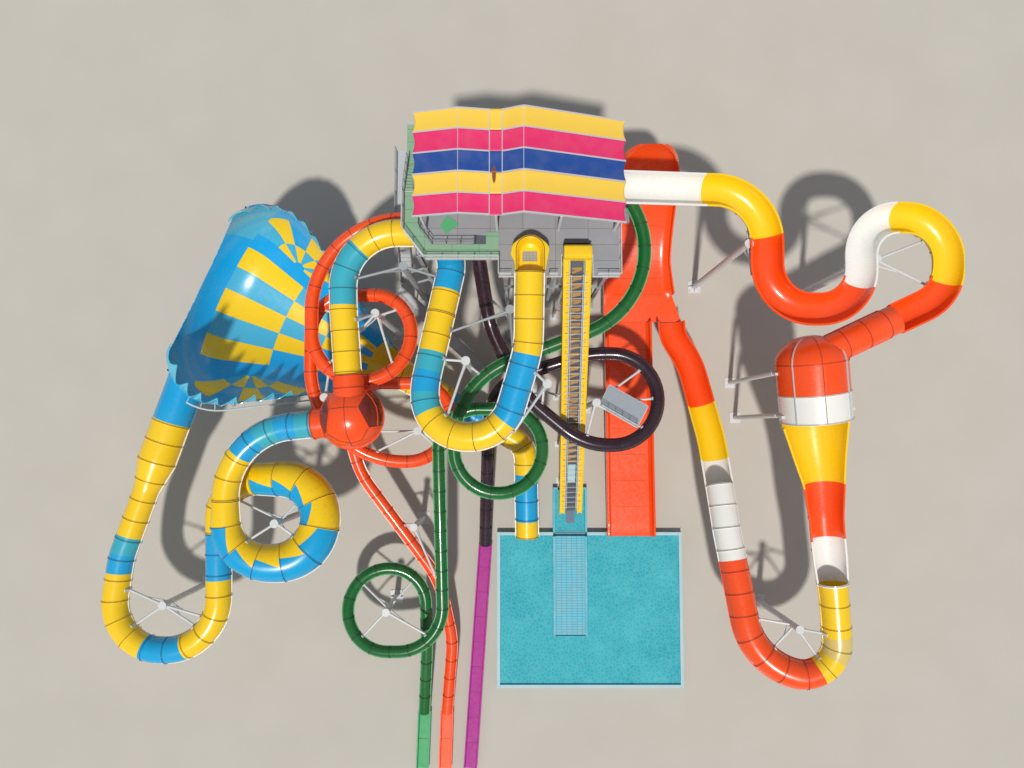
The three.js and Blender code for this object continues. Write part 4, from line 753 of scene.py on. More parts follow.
def flange_ring(shape, course, distance, radius, height, finish, seam, sides, thick=0.1):
    """A bolted joint: two flange rings with a dark line of sealant between them."""
    for a, b, rise, look in ((-thick / 2, -0.022, height, finish), (0.022, thick / 2, height, finish),
                             (-0.022, 0.022, height * 0.9, seam)):
        low = max(distance + a, 0.0)
        high = min(distance + b, course.length)
        outside = [section_ring(course, d, radius + rise / course.girth(d), sides) for d in (low, high)]
        inside = [section_ring(course, d, radius - 0.01, sides) for d in (low, high)]
        shape.rings([inside[0], outside[0], outside[1], inside[1]], look, uvs=[(distance, 0.0)] * 4)


def side_seams(shape, course, radius, start, end, rim, stops, width=0.07, step=0.5):
    """The bolted joint along both sides, where the upper half meets the lower half."""
    places = stations(start, end, step, stops)
    looks = span_finishes(stops, places) if rim is None else rim
    for sign in (-1, 1):
        rings = []
        for d in places:
            centre, _, left, rise, girth = course.frame_at(d)
            size = radius * girth
            foot = centre + left * sign * (size - 0.03)
            edge = centre + left * sign * (size + width)
            rings.append(rib(foot, edge, rise * 0.03))
        shape.rings(rings, looks, caps=True)


def joints(start, end, spacing):
    return spread(start, end, spacing)[1:-1]


def slide_piece(name, course, radius, start, end, stops, looks, nodes, spacing, sides, rim=None,
                meets=()):
    """A tube slide piece with its bolted joints. looks[-1] is the sealant, rim the flanges' own look."""
    sizes = bpy.context.scene.slide_sizes
    shape = Shape()
    tube_shell(shape, course, radius, sizes.wall, start, end, stops, sides, meets=meets)
    seam = len(looks) - 1
    # Joints keep to the part of the tube that stands free of the bodies it runs into.
    nears = [near for near, _, _ in meets]
    first = max([start] + [near for near in nears if near < (start + end) / 2])
    last = min([end] + [near for near in nears if near > (start + end) / 2])
    for d in [*joints(first, last, spacing), first + 0.06, last - 0.06]:
        flange_ring(shape, course, d, radius, sizes.flange, finish_at(stops, d), seam, sides)
    side_seams(shape, course, radius, first, last, rim, stops)
    return make_piece(name, shape, looks, nodes)


def flume_piece(name, course, start, end, stops, looks, nodes, spacing=2.4, radius=None, lip=0.1):
    """An open flume: a trough with turned-out lips and bolted joints under it."""
    sizes = bpy.context.scene.slide_sizes
    radius = radius or sizes.wide_radius
    shape = Shape()
    places = stations(start, end, 0.35, stops)
    colours = span_finishes(stops, places)
    rings = [section_trough(course, d, radius, sizes.wall, lip, 16) for d in places]
    shape.rings(rings, colours, uvs=[(d, 0.0) for d in places], caps=True)
    seam = len(looks) - 1
    for d in [start + 0.06] + joints(start, end, spacing) + [end - 0.06]:
        centre, tangent, left, rise, girth = course.frame_at(d)
        size = radius * girth
        for push, thick, grow, look in ((-0.045, 0.05, sizes.flange, None), (0.045, 0.05, sizes.flange, None),
                                        (0.0, 0.035, sizes.flange * 0.8, seam)):
            a, b, inner, outer = push - thick / 2, push + thick / 2, size - 0.01, size + grow
            arcs = [[centre + tangent * off + spoke(left, rise, -pi * i / 16) * reach for i in range(17)]
                    for off, reach in ((a, inner), (a, outer), (b, outer), (b, inner), (a, inner))]
            shape.rings(arcs, finish_at(stops, d) if look is None else look, closed=False)
    return make_piece(name, shape, looks, nodes)


def build_raft_ride():
    f = finishes
    sizes = bpy.context.scene.slide_sizes
    looks = [f.yellow, f.cyan, f.white, f.teal, f.seam]

    def tube(name, course, start, end, stops, node, pitch=sizes.raft_joint, meets=()):
        slide_piece(name + "_shell", course, sizes.raft_radius, start, end, stops, looks,
                    [node], pitch, sizes.tube_sides, rim=2, meets=meets)

    upper, lower = raft_upper, raft_lower
    stops = [(8.2, 0), (13.3, 1), (20.0, 0), (21.5, 3), (23.1, 1), (24.6, 3), (29.4, 0), (32.6, 1), (34.5, 3),
             (40.25, 0), (44.95, 3), (99, 0)]
    cut = upper.distance(4.5)
    tube("raft_tube_upper", upper, START_TUB_LENGTH, cut, stops, "raft_tube_upper")
    tube("raft_tube_west", upper, cut, upper.length, stops, "raft_tube_west",
         meets=[(upper.length - 3.2, upper.length, in_sphere)])
    stops = [(4.3, 5), (5.9, 1), (7.6, 5), (9.6, 1), (leaf_end(16.2), 0), (leaf_end(25.7), 3),
             (leaf_end(34.0), 4), (39.6, 0), (43.3, 1), (49.9, 0), (53.3, 1), (60.4, 0), (62.0, 1),
             (63.5, 5), (73.5, 0), (99, 1)]
    looks = [f.yellow, f.cyan, f.white, f.petals, f.petals_high, f.teal, f.seam]
    first, last = lower.distance(1.5), lower.distance(5.3)
    tube("sphere_outlet", lower, 0.0, first, stops, "sphere_outlet_tube",
         meets=[(3.2, 0.0, in_sphere)])
    tube("spiral", lower, first, last, stops, "spiral_tube", LEAF)
    tube("return", lower, last, lower.length, stops, "return_tube",
         meets=[(lower.length - 8.0, lower.length, in_funnel)])
    tube("funnel_outlet", outlet, 0.4, outlet.length, [(6.2, 0), (9.5, 1), (16.4, 0), (20.7, 1), (99, 0)],
         "funnel_outlet")
    start_tub()


class SLIDE_OT_raft_ride(bpy.types.Operator):
    """Build the yellow and blue raft tubes, with the start tub and the spiral"""
    bl_idname = "slide.raft_ride"
    bl_label = "Raft ride"

    def execute(self, context):
        build_raft_ride()
        return {"FINISHED"}


def start_tub():
    """The open tub on the deck at the head of the upper tube, with a grating in its floor."""
    f = finishes
    x, y, z = RAFT_UPPER[0][:3]
    turn = y - 0.95
    south = y - START_TUB_LENGTH

    def horseshoe(spare, flare=0.0):
        """Plan of the tub, open to the south; flare widens it at its shoulders."""
        side = []
        for t in spread(south, turn, 0.2)[:-1]:
            bulge = flare * exp(-((t - turn + 0.25) / 0.42) ** 2)
            side.append((0.93 + spare + bulge, t))
        bow = []
        for i in range(25):
            angle = pi - pi * i / 24
            reach = 0.93 + spare + flare * exp(-(abs(cos(angle)) - 1) ** 2 / 0.05) * 0.8
            bow.append((x + reach * cos(angle), turn + (0.93 + spare) * sin(angle)))
        return [(x - out, t) for out, t in side] + bow + [(x + side[0][0], south)]

    shape = Shape()
    levels = [(-0.45, 0.0, z - 0.92), (-0.2, 0.0, z - 0.8), (-0.06, 0.0, z - 0.5), (0.0, 0.0, z + 0.25),
              (0.05, 0.0, z + 0.3), (0.16, 0.3, z + 0.27), (0.16, 0.3, z + 0.18), (0.06, 0.02, z + 0.14),
              (0.06, 0.0, DECK_TOP + 0.01)]
    rings = [[Vector((*spot, level)) for spot in horseshoe(spare, flare)] for spare, flare, level in levels]
    shape.rings(rings, closed=False)
    floor = rings[0]
    shape.add(floor, [tuple(range(len(floor)))], 0)
    ridge = [[Vector((px, py, level)) for px, py in horseshoe(spare)]
             for spare, level in ((0.06, z + 0.3), (0.06, z + 0.33), (0.1, z + 0.33), (0.1, z + 0.3))]
    shape.rings(ridge + ridge[:1], 2, closed=False)
    shape.box(x - 0.58, x + 0.58, turn - 0.55, turn + 0.2, z - 0.93, z - 0.89, 1)
    make_piece("start_tub_shell", shape, [f.gold, f.grating, f.seam], ["start_hood"])


def in_sphere(point):
    return (point - SPHERE).length < SPHERE_RADIUS - 0.02


# The sphere's panels are set out round an axis that leans this way.
SPHERE_LEAN = Vector((0.21, 0.04, 0.98))
# Panels and ridges of the sphere, as places square to that axis, in radii from its centre.
SPHERE_SMOKED = [
    [(0.42, 0.75), (0.157, 0.256), (0.51, -0.37), (0.98, -0.3), (1.2, 0.3), (0.66, 0.9)],
    [(-0.77, 0.62), (-0.67, 0.215), (-0.74, -0.55), (-0.95, -0.52), (-1.3, 0.0), (-0.95, 0.5)],
]
SPHERE_RIDGES = [
    ([(0.42, 0.75), (0.157, 0.256), (0.51, -0.37), (0.92, -0.29)], 0),
    ([(0.42, 0.75), (0.6, 0.55), (0.74, 0.296), (0.79, 0.0), (0.79, -0.28)], 1),
    ([(-0.77, 0.62), (-0.67, 0.215), (-0.74, -0.55)], 0),
    ([(-0.67, 0.2), (-0.25, 0.25), (0.157, 0.256)], 2),
    ([(-0.195, 0.97), (-0.24, 0.5), (-0.24, 0.25), (-0.22, -0.1), (-0.15, -0.55), (0.02, -0.93)], 2),
    ([(-0.74, -0.55), (-0.4, -0.76), (0.0, -0.84), (0.32, -0.74), (0.51, -0.37)], 2),
]


def within(outline, x, y):
    """Whether a plan place lies in an outline."""
    inside = False
    for (x0, y0), (x1, y1) in zip(outline, outline[1:] + outline[:1]):
        if (y0 > y) != (y1 > y) and x < x0 + (x1 - x0) * (y - y0) / (y1 - y0):
            inside = not inside
    return inside


def sphere_shell():
    """The ball: bolted panels, two of them smoked, with collars at both tubes."""
    f = finishes
    shape = Shape()
    lean = UP.rotation_difference(SPHERE_LEAN)
    bores = []
    for course, d, sense in ((raft_upper, raft_upper.length, -1), (raft_lower, 0.0, 1)):
        centre, tangent = course.frame_at(d)[:2]
        bores.append((centre, tangent * sense))

    def panel_at(row, gore, middle):
        """A face's look: none over a bore, smoked or plain elsewhere."""
        for centre, ray in bores:
            off = middle - centre
            if (middle - SPHERE).dot(ray) > 0 and (off - ray * off.dot(ray)).length < 1.0:
                return None
        out = (middle - SPHERE) / SPHERE_RADIUS
        flat = lean.inverted() @ out
        return int(min(out.z, flat.z) > 0 and any(within(panel, flat.x, flat.y) for panel in SPHERE_SMOKED))

    for radius in (SPHERE_RADIUS, SPHERE_RADIUS - 0.05):
        tilts = [pi * row / 64 for row in range(65)]
        shape.rings([[SPHERE + (spoke(EAST, NORTH, 2 * pi * g / 128) * sin(tilt) +
                                UP * cos(tilt)) * radius for g in range(128)] for tilt in tilts], panel_at)
    for line, look in SPHERE_RIDGES:
        path = []
        for (x0, y0), (x1, y1) in zip(line, line[1:]):
            for i in range(7):
                x, y = x0 + (x1 - x0) * i / 6, y0 + (y1 - y0) * i / 6
                flat = Vector((x, y, sqrt(max(0.0, 1 - x * x - y * y)))).normalized()
                path.append(lean @ flat)
        half, proud = ((0.045, 0.05), (0.04, 0.05), (0.022, 0.012))[look]
        rings = []
        for i, out in enumerate(path):
            ahead = (path[min(i + 1, len(path) - 1)] - path[max(i - 1, 0)]).normalized()
            side = out.cross(ahead).normalized() * half
            skin = SPHERE + out * SPHERE_RADIUS
            rings.append(rib(skin - out * 0.02, skin + out * proud, side))
        shape.rings(rings, (0, 0, 2)[look], caps=True)
    belt = []
    for g in range(65):
        out = spoke(EAST, NORTH, 2 * pi * g / 64)
        belt.append([SPHERE + out * (SPHERE_RADIUS + reach) + UP * level
                     for reach, level in ((-0.02, -0.06), (0.09, -0.06), (0.09, 0.06), (-0.02, 0.06))])
    shape.rings(belt, 0)
    for course, near, far in ((raft_upper, raft_upper.length - 3.0, raft_upper.length - 1.0),
                              (raft_lower, 3.0, 1.0)):
        step = 0.2 if far > near else -0.2
        marks = [near + step * i for i in range(11)]
        for size, inset in ((1.18, 0.0), (1.18, 0.1)):
            rings = skin_rings(course, size, 40, marks, inset, [(near, far, in_sphere)])
            shape.rings(rings, 0)
        for push in (0.0, 0.95):
            d = near + push * (1 if far > near else -1)
            flange_ring(shape, course, d, 1.18, 0.06, 0, 2, 40)
        rims = [section_ring(course, near, size, 40) for size in (1.18, 1.02)]
        shape.rings(rims, 0)
    make_piece("sphere_shell", shape, [f.orange, f.smoked, f.seam], ["raft_sphere"])


class SLIDE_OT_sphere(bpy.types.Operator):
    """Build the orange sphere of the raft ride"""
    bl_idname = "slide.sphere"
    bl_label = "Sphere"

    def execute(self, context):
        sphere_shell()
        return {"FINISHED"}


funnel_axis = Vector((cos(FUNNEL_HEADING) * cos(FUNNEL_TILT),
                      sin(FUNNEL_HEADING) * cos(FUNNEL_TILT), sin(FUNNEL_TILT)))
funnel_side = funnel_axis.cross(UP).normalized()
funnel_lift = funnel_side.cross(funnel_axis)
FUNNEL_RUN = CURL_START + CURL_RADIUS * (pi / 2 + FUNNEL_SPREAD)


def funnel_profile(run):
    """Radius and place along the axis, with the outward slope of both, at a distance up the funnel's side."""
    if run <= CURL_START:
        return (THROAT_RADIUS + run * tan(FUNNEL_SPREAD), run,
                cos(FUNNEL_SPREAD), -sin(FUNNEL_SPREAD))
    angle = (run - CURL_START) / CURL_RADIUS - FUNNEL_SPREAD
    middle = THROAT_RADIUS + CURL_START * tan(FUNNEL_SPREAD) - CURL_RADIUS * cos(FUNNEL_SPREAD)
    return (middle + CURL_RADIUS * cos(angle),
            CURL_START + CURL_RADIUS * (sin(FUNNEL_SPREAD) + sin(angle)),
            cos(angle), sin(angle))


def funnel_point(run, angle, inset=0.0):
    """A point of the funnel; the angle is 0 at its north rim, 180 at its south rim and 270 at its floor."""
    radius, along, slope_out, slope_on = funnel_profile(run)
    reach = radius - inset * slope_out
    turn = radians(angle)
    return (FUNNEL_THROAT + funnel_axis * (along - inset * slope_on) +
            spoke(funnel_side, funnel_lift, turn) * reach)


def in_funnel(point):
    """Whether a point lies inside the funnel's closed form."""
    offset = point - FUNNEL_THROAT
    along = offset.dot(funnel_axis)
    reach = (offset - funnel_axis * along).length
    if along < 0:
        return False
    if along <= CURL_START:
        return reach < THROAT_RADIUS + along * tan(FUNNEL_SPREAD) - 0.02
    middle = THROAT_RADIUS + CURL_START * tan(FUNNEL_SPREAD) - CURL_RADIUS * cos(FUNNEL_SPREAD)
    rise = along - CURL_START - CURL_RADIUS * sin(FUNNEL_SPREAD)
    return hypot(max(0.0, reach - middle), rise) < CURL_RADIUS - 0.02


def funnel_rim(run):
    """How many degrees past level the toothed edge stands, and how far its tips lean in."""
    radius, along, _, _ = funnel_profile(run)
    phase = ((along - FUNNEL_CLOSED) / TOOTH) % 1.0
    tooth = (1 - abs(2 * phase - 1)) ** 1.5
    return degrees(asin(min(0.9, (RIM_LIFT + TOOTH_DEPTH * tooth) / radius))), TOOTH_LEAN * tooth


# How far up its side the funnel's wedges end and its end cut may start.
FLARE_RUN = 14.5


def funnel_reach(angle):
    """The run that the funnel ends at: cut straight across its floor, full at its rims."""
    a, b, c = (Vector(place) for place in FUNNEL_END)
    normal = (b - a).cross(c - a)
    side = (FUNNEL_THROAT - a).dot(normal)
    edge = min(angle - 180, 360 - angle)
    share = min(1.0, max(0.72, 0.72 + 0.28 * (edge - 2) / 9))
    for run in spread(FLARE_RUN, FUNNEL_RUN, 0.08):
        if (funnel_point(run, angle) - a).dot(normal) * side < 0:
            return FUNNEL_RUN + (run - FUNNEL_RUN) * share
    return FUNNEL_RUN


funnel_ends = [funnel_reach(180 + 1.5 * i) for i in range(121)]


def funnel_run(run, angle):
    """A run up to the full one, drawn in to where the funnel ends at this angle."""
    if run <= FLARE_RUN:
        return run
    place = min(max((angle - 180) / 1.5, 0.0), 119.99)
    low = int(place)
    end = funnel_ends[low] + (funnel_ends[low + 1] - funnel_ends[low]) * (place - low)
    return FLARE_RUN + (run - FLARE_RUN) * (end - FLARE_RUN) / (FUNNEL_RUN - FLARE_RUN)


WEDGE_FROM = 231.0
WEDGE = 15.0
WEDGE_ENDS = (5.6, 9.1, FLARE_RUN)
FAN_RUN = 10.3


def funnel_panel(run, angle):
    """Gel-coat colour of the funnel's inside: wedges on the floor, plain walls, a gold throat, and a pale
    patch of painted sunlight high on the north wall near the big end.
    """
    column = int((angle - WEDGE_FROM) // WEDGE)
    if run < 1.7:
        return 1
    if 0 <= column < 5 and run < WEDGE_ENDS[2]:
        if run > WEDGE_ENDS[1]:
            return 1 if column % 2 == 0 else 2
        if run > WEDGE_ENDS[0]:
            return (0, 1, 2, 1, 2)[column]
        return 0 if column % 2 else 1
    # Past the wedges the upper north wall is laid pale: painted sunlight on that wall.
    return 2 if run > WEDGE_ENDS[2] and angle > 312 else 0


def fan(shape, centre, sign, colours):
    """Half a fan of two rings of sectors, laid on the funnel's side wall."""
    for ring, (low, high) in enumerate(((0.45, 2.1), (2.1, 5.0))):
        for sector, look in enumerate(colours[ring]):
            if look == 0:
                continue
            grid = []
            for i in range(9):
                reach = low + (high - low) * i / 8
                line = []
                for j in range(9):
                    turn = pi * (sector + j / 8) / 7
                    run = min(FAN_RUN + reach * cos(turn), FLARE_RUN)
                    angle = centre + sign * degrees(reach * sin(turn) / funnel_profile(run)[0])
                    line.append(funnel_point(run, min(max(angle, 185.0), 355.0), 0.068))
                grid.append(line)
            shape.rings(grid, look, closed=False)


def build_funnel():
    f = finishes
    shape = Shape()
    wall = 0.06
    runs = [FUNNEL_CLOSED]
    for a, b in zip((FUNNEL_CLOSED, *WEDGE_ENDS), (*WEDGE_ENDS, FUNNEL_RUN)):
        runs += spread(a, b, 0.13)[1:]
    flat = [184.5 + 1.5 * i for i in range(115)]
    rings = []
    for inset in (0.0, wall):
        skin = []
        for run in runs:
            top, lean = funnel_rim(run)
            ring = [funnel_point(funnel_run(run, a), a, inset) for a in [180 - top, *flat, 360 + top]]
            ring[0] += funnel_side * lean
            ring[-1] -= funnel_side * lean * 0.55
            skin.append(ring)
        rings.append(skin)
    edges = [180.0, *flat, 360.0]

    # Tooth columns of the rim take the lighter cyan, inside and out: painted sunlight on the teeth.
    def outside(row, column, middle):
        return 4 if column in (0, len(flat)) else 1 if runs[row] < 1.6 else 0

    def inside(row, column, middle):
        if column in (0, len(flat)):
            return 4
        return funnel_panel((runs[row] + runs[row + 1]) / 2, (edges[column] + edges[column + 1]) / 2)

    for skin, look in zip(rings, (outside, inside)):
        shape.rings(skin, look, closed=False)
    for side in (0, -1):
        shape.rings([[out[side], into[side]] for out, into in zip(*rings)], 4, closed=False)
    shape.rings([rings[0][-1], rings[1][-1]], closed=False)
    for inset in (0.0, wall):
        shape.rings([[funnel_point(run, a * 5, inset) for a in range(72)] for run in (0.0, 0.5, 1.0)], 1)
    shape.rings([[funnel_point(0.0, a * 5, inset) for a in range(72)] for inset in (0.0, wall)], 1)
    fan(shape, 318.0, 1, ((1, 2, 1, 2, 1, 2, 1), (2, 1, 0, 1, 0, 1, 0)))
    fan(shape, 222.0, -1, ((0, 2, 1, 2, 1, 2, 0), (0, 1, 0, 1, 0, 1, 0)))
    # Bolted flanges stand outside; the inside is laid up flush.
    for run in (1.1, 3.3, 5.6, 7.6, 9.1, 10.8, 12.5, 14.5, 16.4, 18.4):
        arc = [187.0 + 166.0 * i / 60 for i in range(61)]
        flange = [[funnel_point(funnel_run(run, a) + d, a, -reach) for a in arc]
                  for d, reach in ((-0.05, 0.0), (-0.05, 0.11), (0.05, 0.11), (0.05, 0.0))]
        shape.rings(flange, closed=False)
    for i in range(12):
        angle = 186.0 + 168.0 * i / 11
        line = spread(FUNNEL_CLOSED, 18.0, 0.6)
        rib = [[funnel_point(funnel_run(run, angle), angle + d / funnel_profile(run)[0], -reach)
                for d, reach in ((-2.2, 0.0), (-2.2, 0.08), (2.2, 0.08), (2.2, 0.0))] for run in line]
        shape.rings(rib, caps=True)
    make_piece("funnel_shell", shape, [f.sky, f.gold, f.pale, f.white, f.rim, f.seam],
               ["funnel"])
    rail = Shape()
    runs = spread(6.0, 15.0, 0.5)
    path = [funnel_point(run, 184, -0.5) for run in runs]
    for a, b in zip(path, path[1:]):
        rail.bar(a, b, 0.07, 8)
    for run, spot in zip(runs[::2], path[::2]):
        rail.bar(spot, funnel_point(run, 186, -0.02), 0.045, 6)
    make_piece("funnel_rim_rail", rail, [f.steel])


class SLIDE_OT_funnel(bpy.types.Operator):
    """Build the great funnel with its open toothed top"""
    bl_idname = "slide.funnel"
    bl_label = "Funnel"

    def execute(self, context):
        build_funnel()
        return {"FINISHED"}


CAPSULE_DOME = 2.1
capsule_length = (CAPSULE_NORTH - CAPSULE_SOUTH).length
capsule_axis = (CAPSULE_NORTH - CAPSULE_SOUTH).normalized()


def in_capsule(point):
    along = (point - CAPSULE_SOUTH).dot(capsule_axis)
    reach = (point - CAPSULE_SOUTH - capsule_axis * along).length
    if along < 0 or along > capsule_length:
        return False
    past = max(0.0, along - (capsule_length - CAPSULE_DOME)) / CAPSULE_DOME
    return reach < CAPSULE_RADIUS * sqrt(max(0.0, 1 - past * past)) - 0.02


def build_wide_ride():
    f = finishes
    radius = bpy.context.scene.slide_sizes.wide_radius
    looks = [f.white, f.yellow, f.orange, f.cream, f.seam]
    upper, lower = wide_upper, wide_lower
    stops = [(6.2, 0), (12.4, 1), (24.4, 2), (31.2, 0), (38.6, 1), (99, 2)]
    cuts = [upper.distance(3.5), upper.distance(6.7) - 3.0]
    flume_piece("wide_flume_first_shell", upper, 0, cuts[0], stops, looks,
                ["wide_flume_first"])
    flume_piece("wide_flume_second_shell", upper, cuts[0], cuts[1], stops, looks,
                ["wide_flume_second"])
    slide_piece("drop_tube_shell", upper, radius, cuts[1], upper.length, stops, looks,
                [], 1.7, 32, meets=[(upper.length - 5.2, upper.length, in_capsule)])
    stops = [(5.4, 1), (9.8, 2), (13.4, 0), (17.5, 1), (19.4, 3), (21.0, 1), (33.8, 2), (42.2, 0), (47.1, 1),
             (99, 2)]
    cuts = [lower.distance(3) - 1.1, lower.distance(6.5)]
    flume_piece("taper_shell", lower, 0.05, cuts[0], stops, looks, ["taper"])
    slide_piece("wide_return_shell", lower, radius, cuts[0], cuts[1], stops, looks,
                ["wide_return_tube"], 1.75, 32)
    flume_piece("rising_flume_shell", lower, cuts[1], lower.length - 0.15, stops, looks,
                ["rising_flume"])


class SLIDE_OT_wide_ride(bpy.types.Operator):
    """Build the open wide flumes, the capsule, the taper and the wide return tube"""
    bl_idname = "slide.wide_ride"
    bl_label = "Wide ride"

    def execute(self, context):
        build_wide_ride()
        return {"FINISHED"}


def build_capsule():
    f = finishes
    axis, length, dome = capsule_axis, capsule_length, CAPSULE_DOME
    side = axis.cross(UP).normalized()
    lift = side.cross(axis)
    inlet, heading, _, _, _ = wide_upper.frame_at(wide_upper.length)
    profile = [(s, CAPSULE_RADIUS) for s in spread(0.0, 2.2, 0.28) + spread(2.2, length - dome, 0.28)[1:]]
    for i in range(1, 13):
        turn = pi / 2 * i / 12
        profile.append((length - dome + dome * sin(turn), CAPSULE_RADIUS * cos(turn)))
    shape = Shape()
    n = 64

    def panel_at(row, column, middle):
        along = (middle - inlet).dot(heading)
        if along < 0 and ((middle - inlet) - heading * along).length < 1.14:
            return None
        return 1 if profile[row][0] < 2.15 else 0

    for inset in (0.0, 0.06):
        shape.rings([[CAPSULE_SOUTH + axis * (s - (inset if reach < 2.6 else 0)) +
                      spoke(side, lift, 2 * pi * i / n) * max(reach - inset, 0.02) for i in range(n)]
                     for s, reach in profile], panel_at)
    for s, look in ((0.06, 1), (2.2, 1), (length - dome, 0)):
        for half, grow, finish in ((0.05, 0.05, look), (0.014, 0.056, 2)):
            shape.rings([[CAPSULE_SOUTH + axis * (s + d) +
                          spoke(side, lift, 2 * pi * i / n) * (CAPSULE_RADIUS + reach) for i in range(n)]
                         for d, reach in ((-half, 0.0), (-half, grow), (half, grow), (half, 0.0))], finish)
    # Lengthwise joints: pale flanges on both shoulders and a dark line along the crown.
    for angle, half, proud, look in ((50.0, 0.04, 0.09, 3), (143.0, 0.04, 0.09, 3), (97.0, 0.018, 0.012, 2)):
        turn = radians(angle)
        out = spoke(side, lift, turn)
        across = spoke(lift, -side, turn) * half
        rings = []
        for s, reach in profile[:-1]:
            spot = CAPSULE_SOUTH + axis * s
            rings.append(rib(spot + out * (reach - 0.01), spot + out * (reach + proud), across))
        shape.rings(rings, look, caps=True)
    make_piece("capsule_shell", shape, [f.orange, f.white, f.seam, f.hoop], ["capsule"])


class SLIDE_OT_capsule(bpy.types.Operator):
    """Build the domed capsule that the wide ride drops through"""
    bl_idname = "slide.capsule"
    bl_label = "Capsule"

    def execute(self, context):
        build_capsule()
        return {"FINISHED"}


def wall_height(y):
    if y <= WALL_FOOT:
        return 2.35 + 0.35 * max(0.0, (y - WALL_SOUTH)) / (WALL_FOOT - WALL_SOUTH)
    return 2.7 + WALL_CURVE - sqrt(max(WALL_CURVE ** 2 - (y - WALL_FOOT) ** 2, 0.0))


def wall_place(x, y, out=0.0):
    """A place on the wall's face, or off it towards its open side."""
    lean = max(0.0, y - WALL_FOOT) / WALL_CURVE
    return Vector((x, y, wall_height(y))) + Vector((0, -lean, sqrt(max(0.0, 1 - lean * lean)))) * out


def wall_edges(y):
    """West and east edges of the wall's plan at y; its top is rounded to an arch."""
    xs = []
    for (x0, y0), (x1, y1) in zip(WALL_PLAN, WALL_PLAN[1:] + WALL_PLAN[:1]):
        if min(y0, y1) <= y <= max(y0, y1) and y0 != y1:
            xs.append(x0 + (x1 - x0) * (y - y0) / (y1 - y0))
    middle, half = (min(xs) + max(xs)) / 2, (max(xs) - min(xs)) / 2
    over = max(0.0, wall_height(y) - 9.4) / 3.15
    half *= sqrt(max(0.08, 1 - over * over))
    return middle - half, middle + half


def build_wall():
    f = finishes
    shape = Shape()
    ys = spread(WALL_SOUTH + 0.01, WALL_FOOT, 0.4)[:-1]
    ys += [WALL_FOOT + WALL_CURVE * sin(WALL_SPAN * i / 64) for i in range(65)]
    ys = [y for y in ys if y < 22.96]
    count = 20
    for lift, flip in ((0.09, False), (0.0, True)):
        rings = []
        for y in ys:
            west, east = wall_edges(min(max(y, 10.02), 23.2))
            ring = []
            for i in range(count + 1):
                x = west + (east - west) * i / count
                edge = abs(2 * i / count - 1)
                curl = 0.35 * max(0.0, edge - 0.75) ** 2 / 0.0625 if y > 12.7 else 0.0
                lean = max(0.0, y - WALL_FOOT) / WALL_CURVE
                z = wall_height(y) + lift * (1 - lean) + curl * (1 - lean * 0.6)
                ring.append(Vector((x, y - curl * lean, z)))
            rings.append(ring)
        shape.rings([ring[::-1] for ring in rings] if flip else rings, closed=False)
    for edge, out in ((0, EAST * -0.12), (1, EAST * 0.12)):
        rings = []
        for y in (y for y in ys if y > (10.0, 12.4)[edge]):
            x = wall_edges(min(max(y, 10.02), 23.2))[edge]
            high = (1.0 if y > 12 else 0.9) * min(1.0, max(0.25, (12.9 - wall_height(y)) / 3))
            foot, top = wall_place(x, y), wall_place(x, y, high)
            rings.append([foot, top, top + out, foot + out])
        shape.rings(rings, caps=True)
    for y in (12.5, 14.0, 15.5, 17.0, 18.5, 20.2, 21.8):
        west, east = wall_edges(y)
        lean = max(0.0, y - WALL_FOOT) / WALL_CURVE
        along = Vector((0, sqrt(1 - lean * lean), lean)) * 0.006
        ring = [wall_place(west + (east - west) * (0.13 + 0.74 * i / 20), y, 0.095) for i in range(21)]
        shape.rings([[p - along for p in ring], [p + along for p in ring]], 1, closed=False)
    make_piece("orange_wall_shell", shape, [f.orange, f.seam], ["orange_wall"])
    struts = Shape()
    for x in (10.0, 13.3):
        line = spread(12.6, 21.9, 0.6)
        for a, b in zip(line, line[1:]):
            struts.beam(wall_place(x, a, -0.22), wall_place(x, b, -0.22), 0.16, 0.22)
        for y in (12.6, 17.4, 21.2):
            top = wall_place(x, y, -0.3)
            struts.beam((x, top.y, 0.03), top, 0.2, 0.2)
            struts.box(x - 0.4, x + 0.4, top.y - 0.4, top.y + 0.4, 0, 0.05)
    for y in (12.6, 17.4, 21.2):
        struts.beam(wall_place(10.0, y, -0.6), wall_place(13.3, y, -0.6), 0.16, 0.2)
    for x0, x1 in ((10.0, 13.3), (13.3, 10.0)):
        struts.bar((x0, 21.4, 0.4), (x1, 21.4, 6.0), 0.05, 8)
        struts.bar((x0, 17.5, 0.3), (x0, 21.3, 5.5), 0.05, 8)
    make_piece("wall_frame_steel", struts, [f.steel], ["wall_frame"])
    wall_runout()


class SLIDE_OT_wall(bpy.types.Operator):
    """Build the tall curved orange wall with its frame, and its run-out"""
    bl_idname = "slide.wall"
    bl_label = "Orange wall"

    def execute(self, context):
        build_wall()
        return {"FINISHED"}


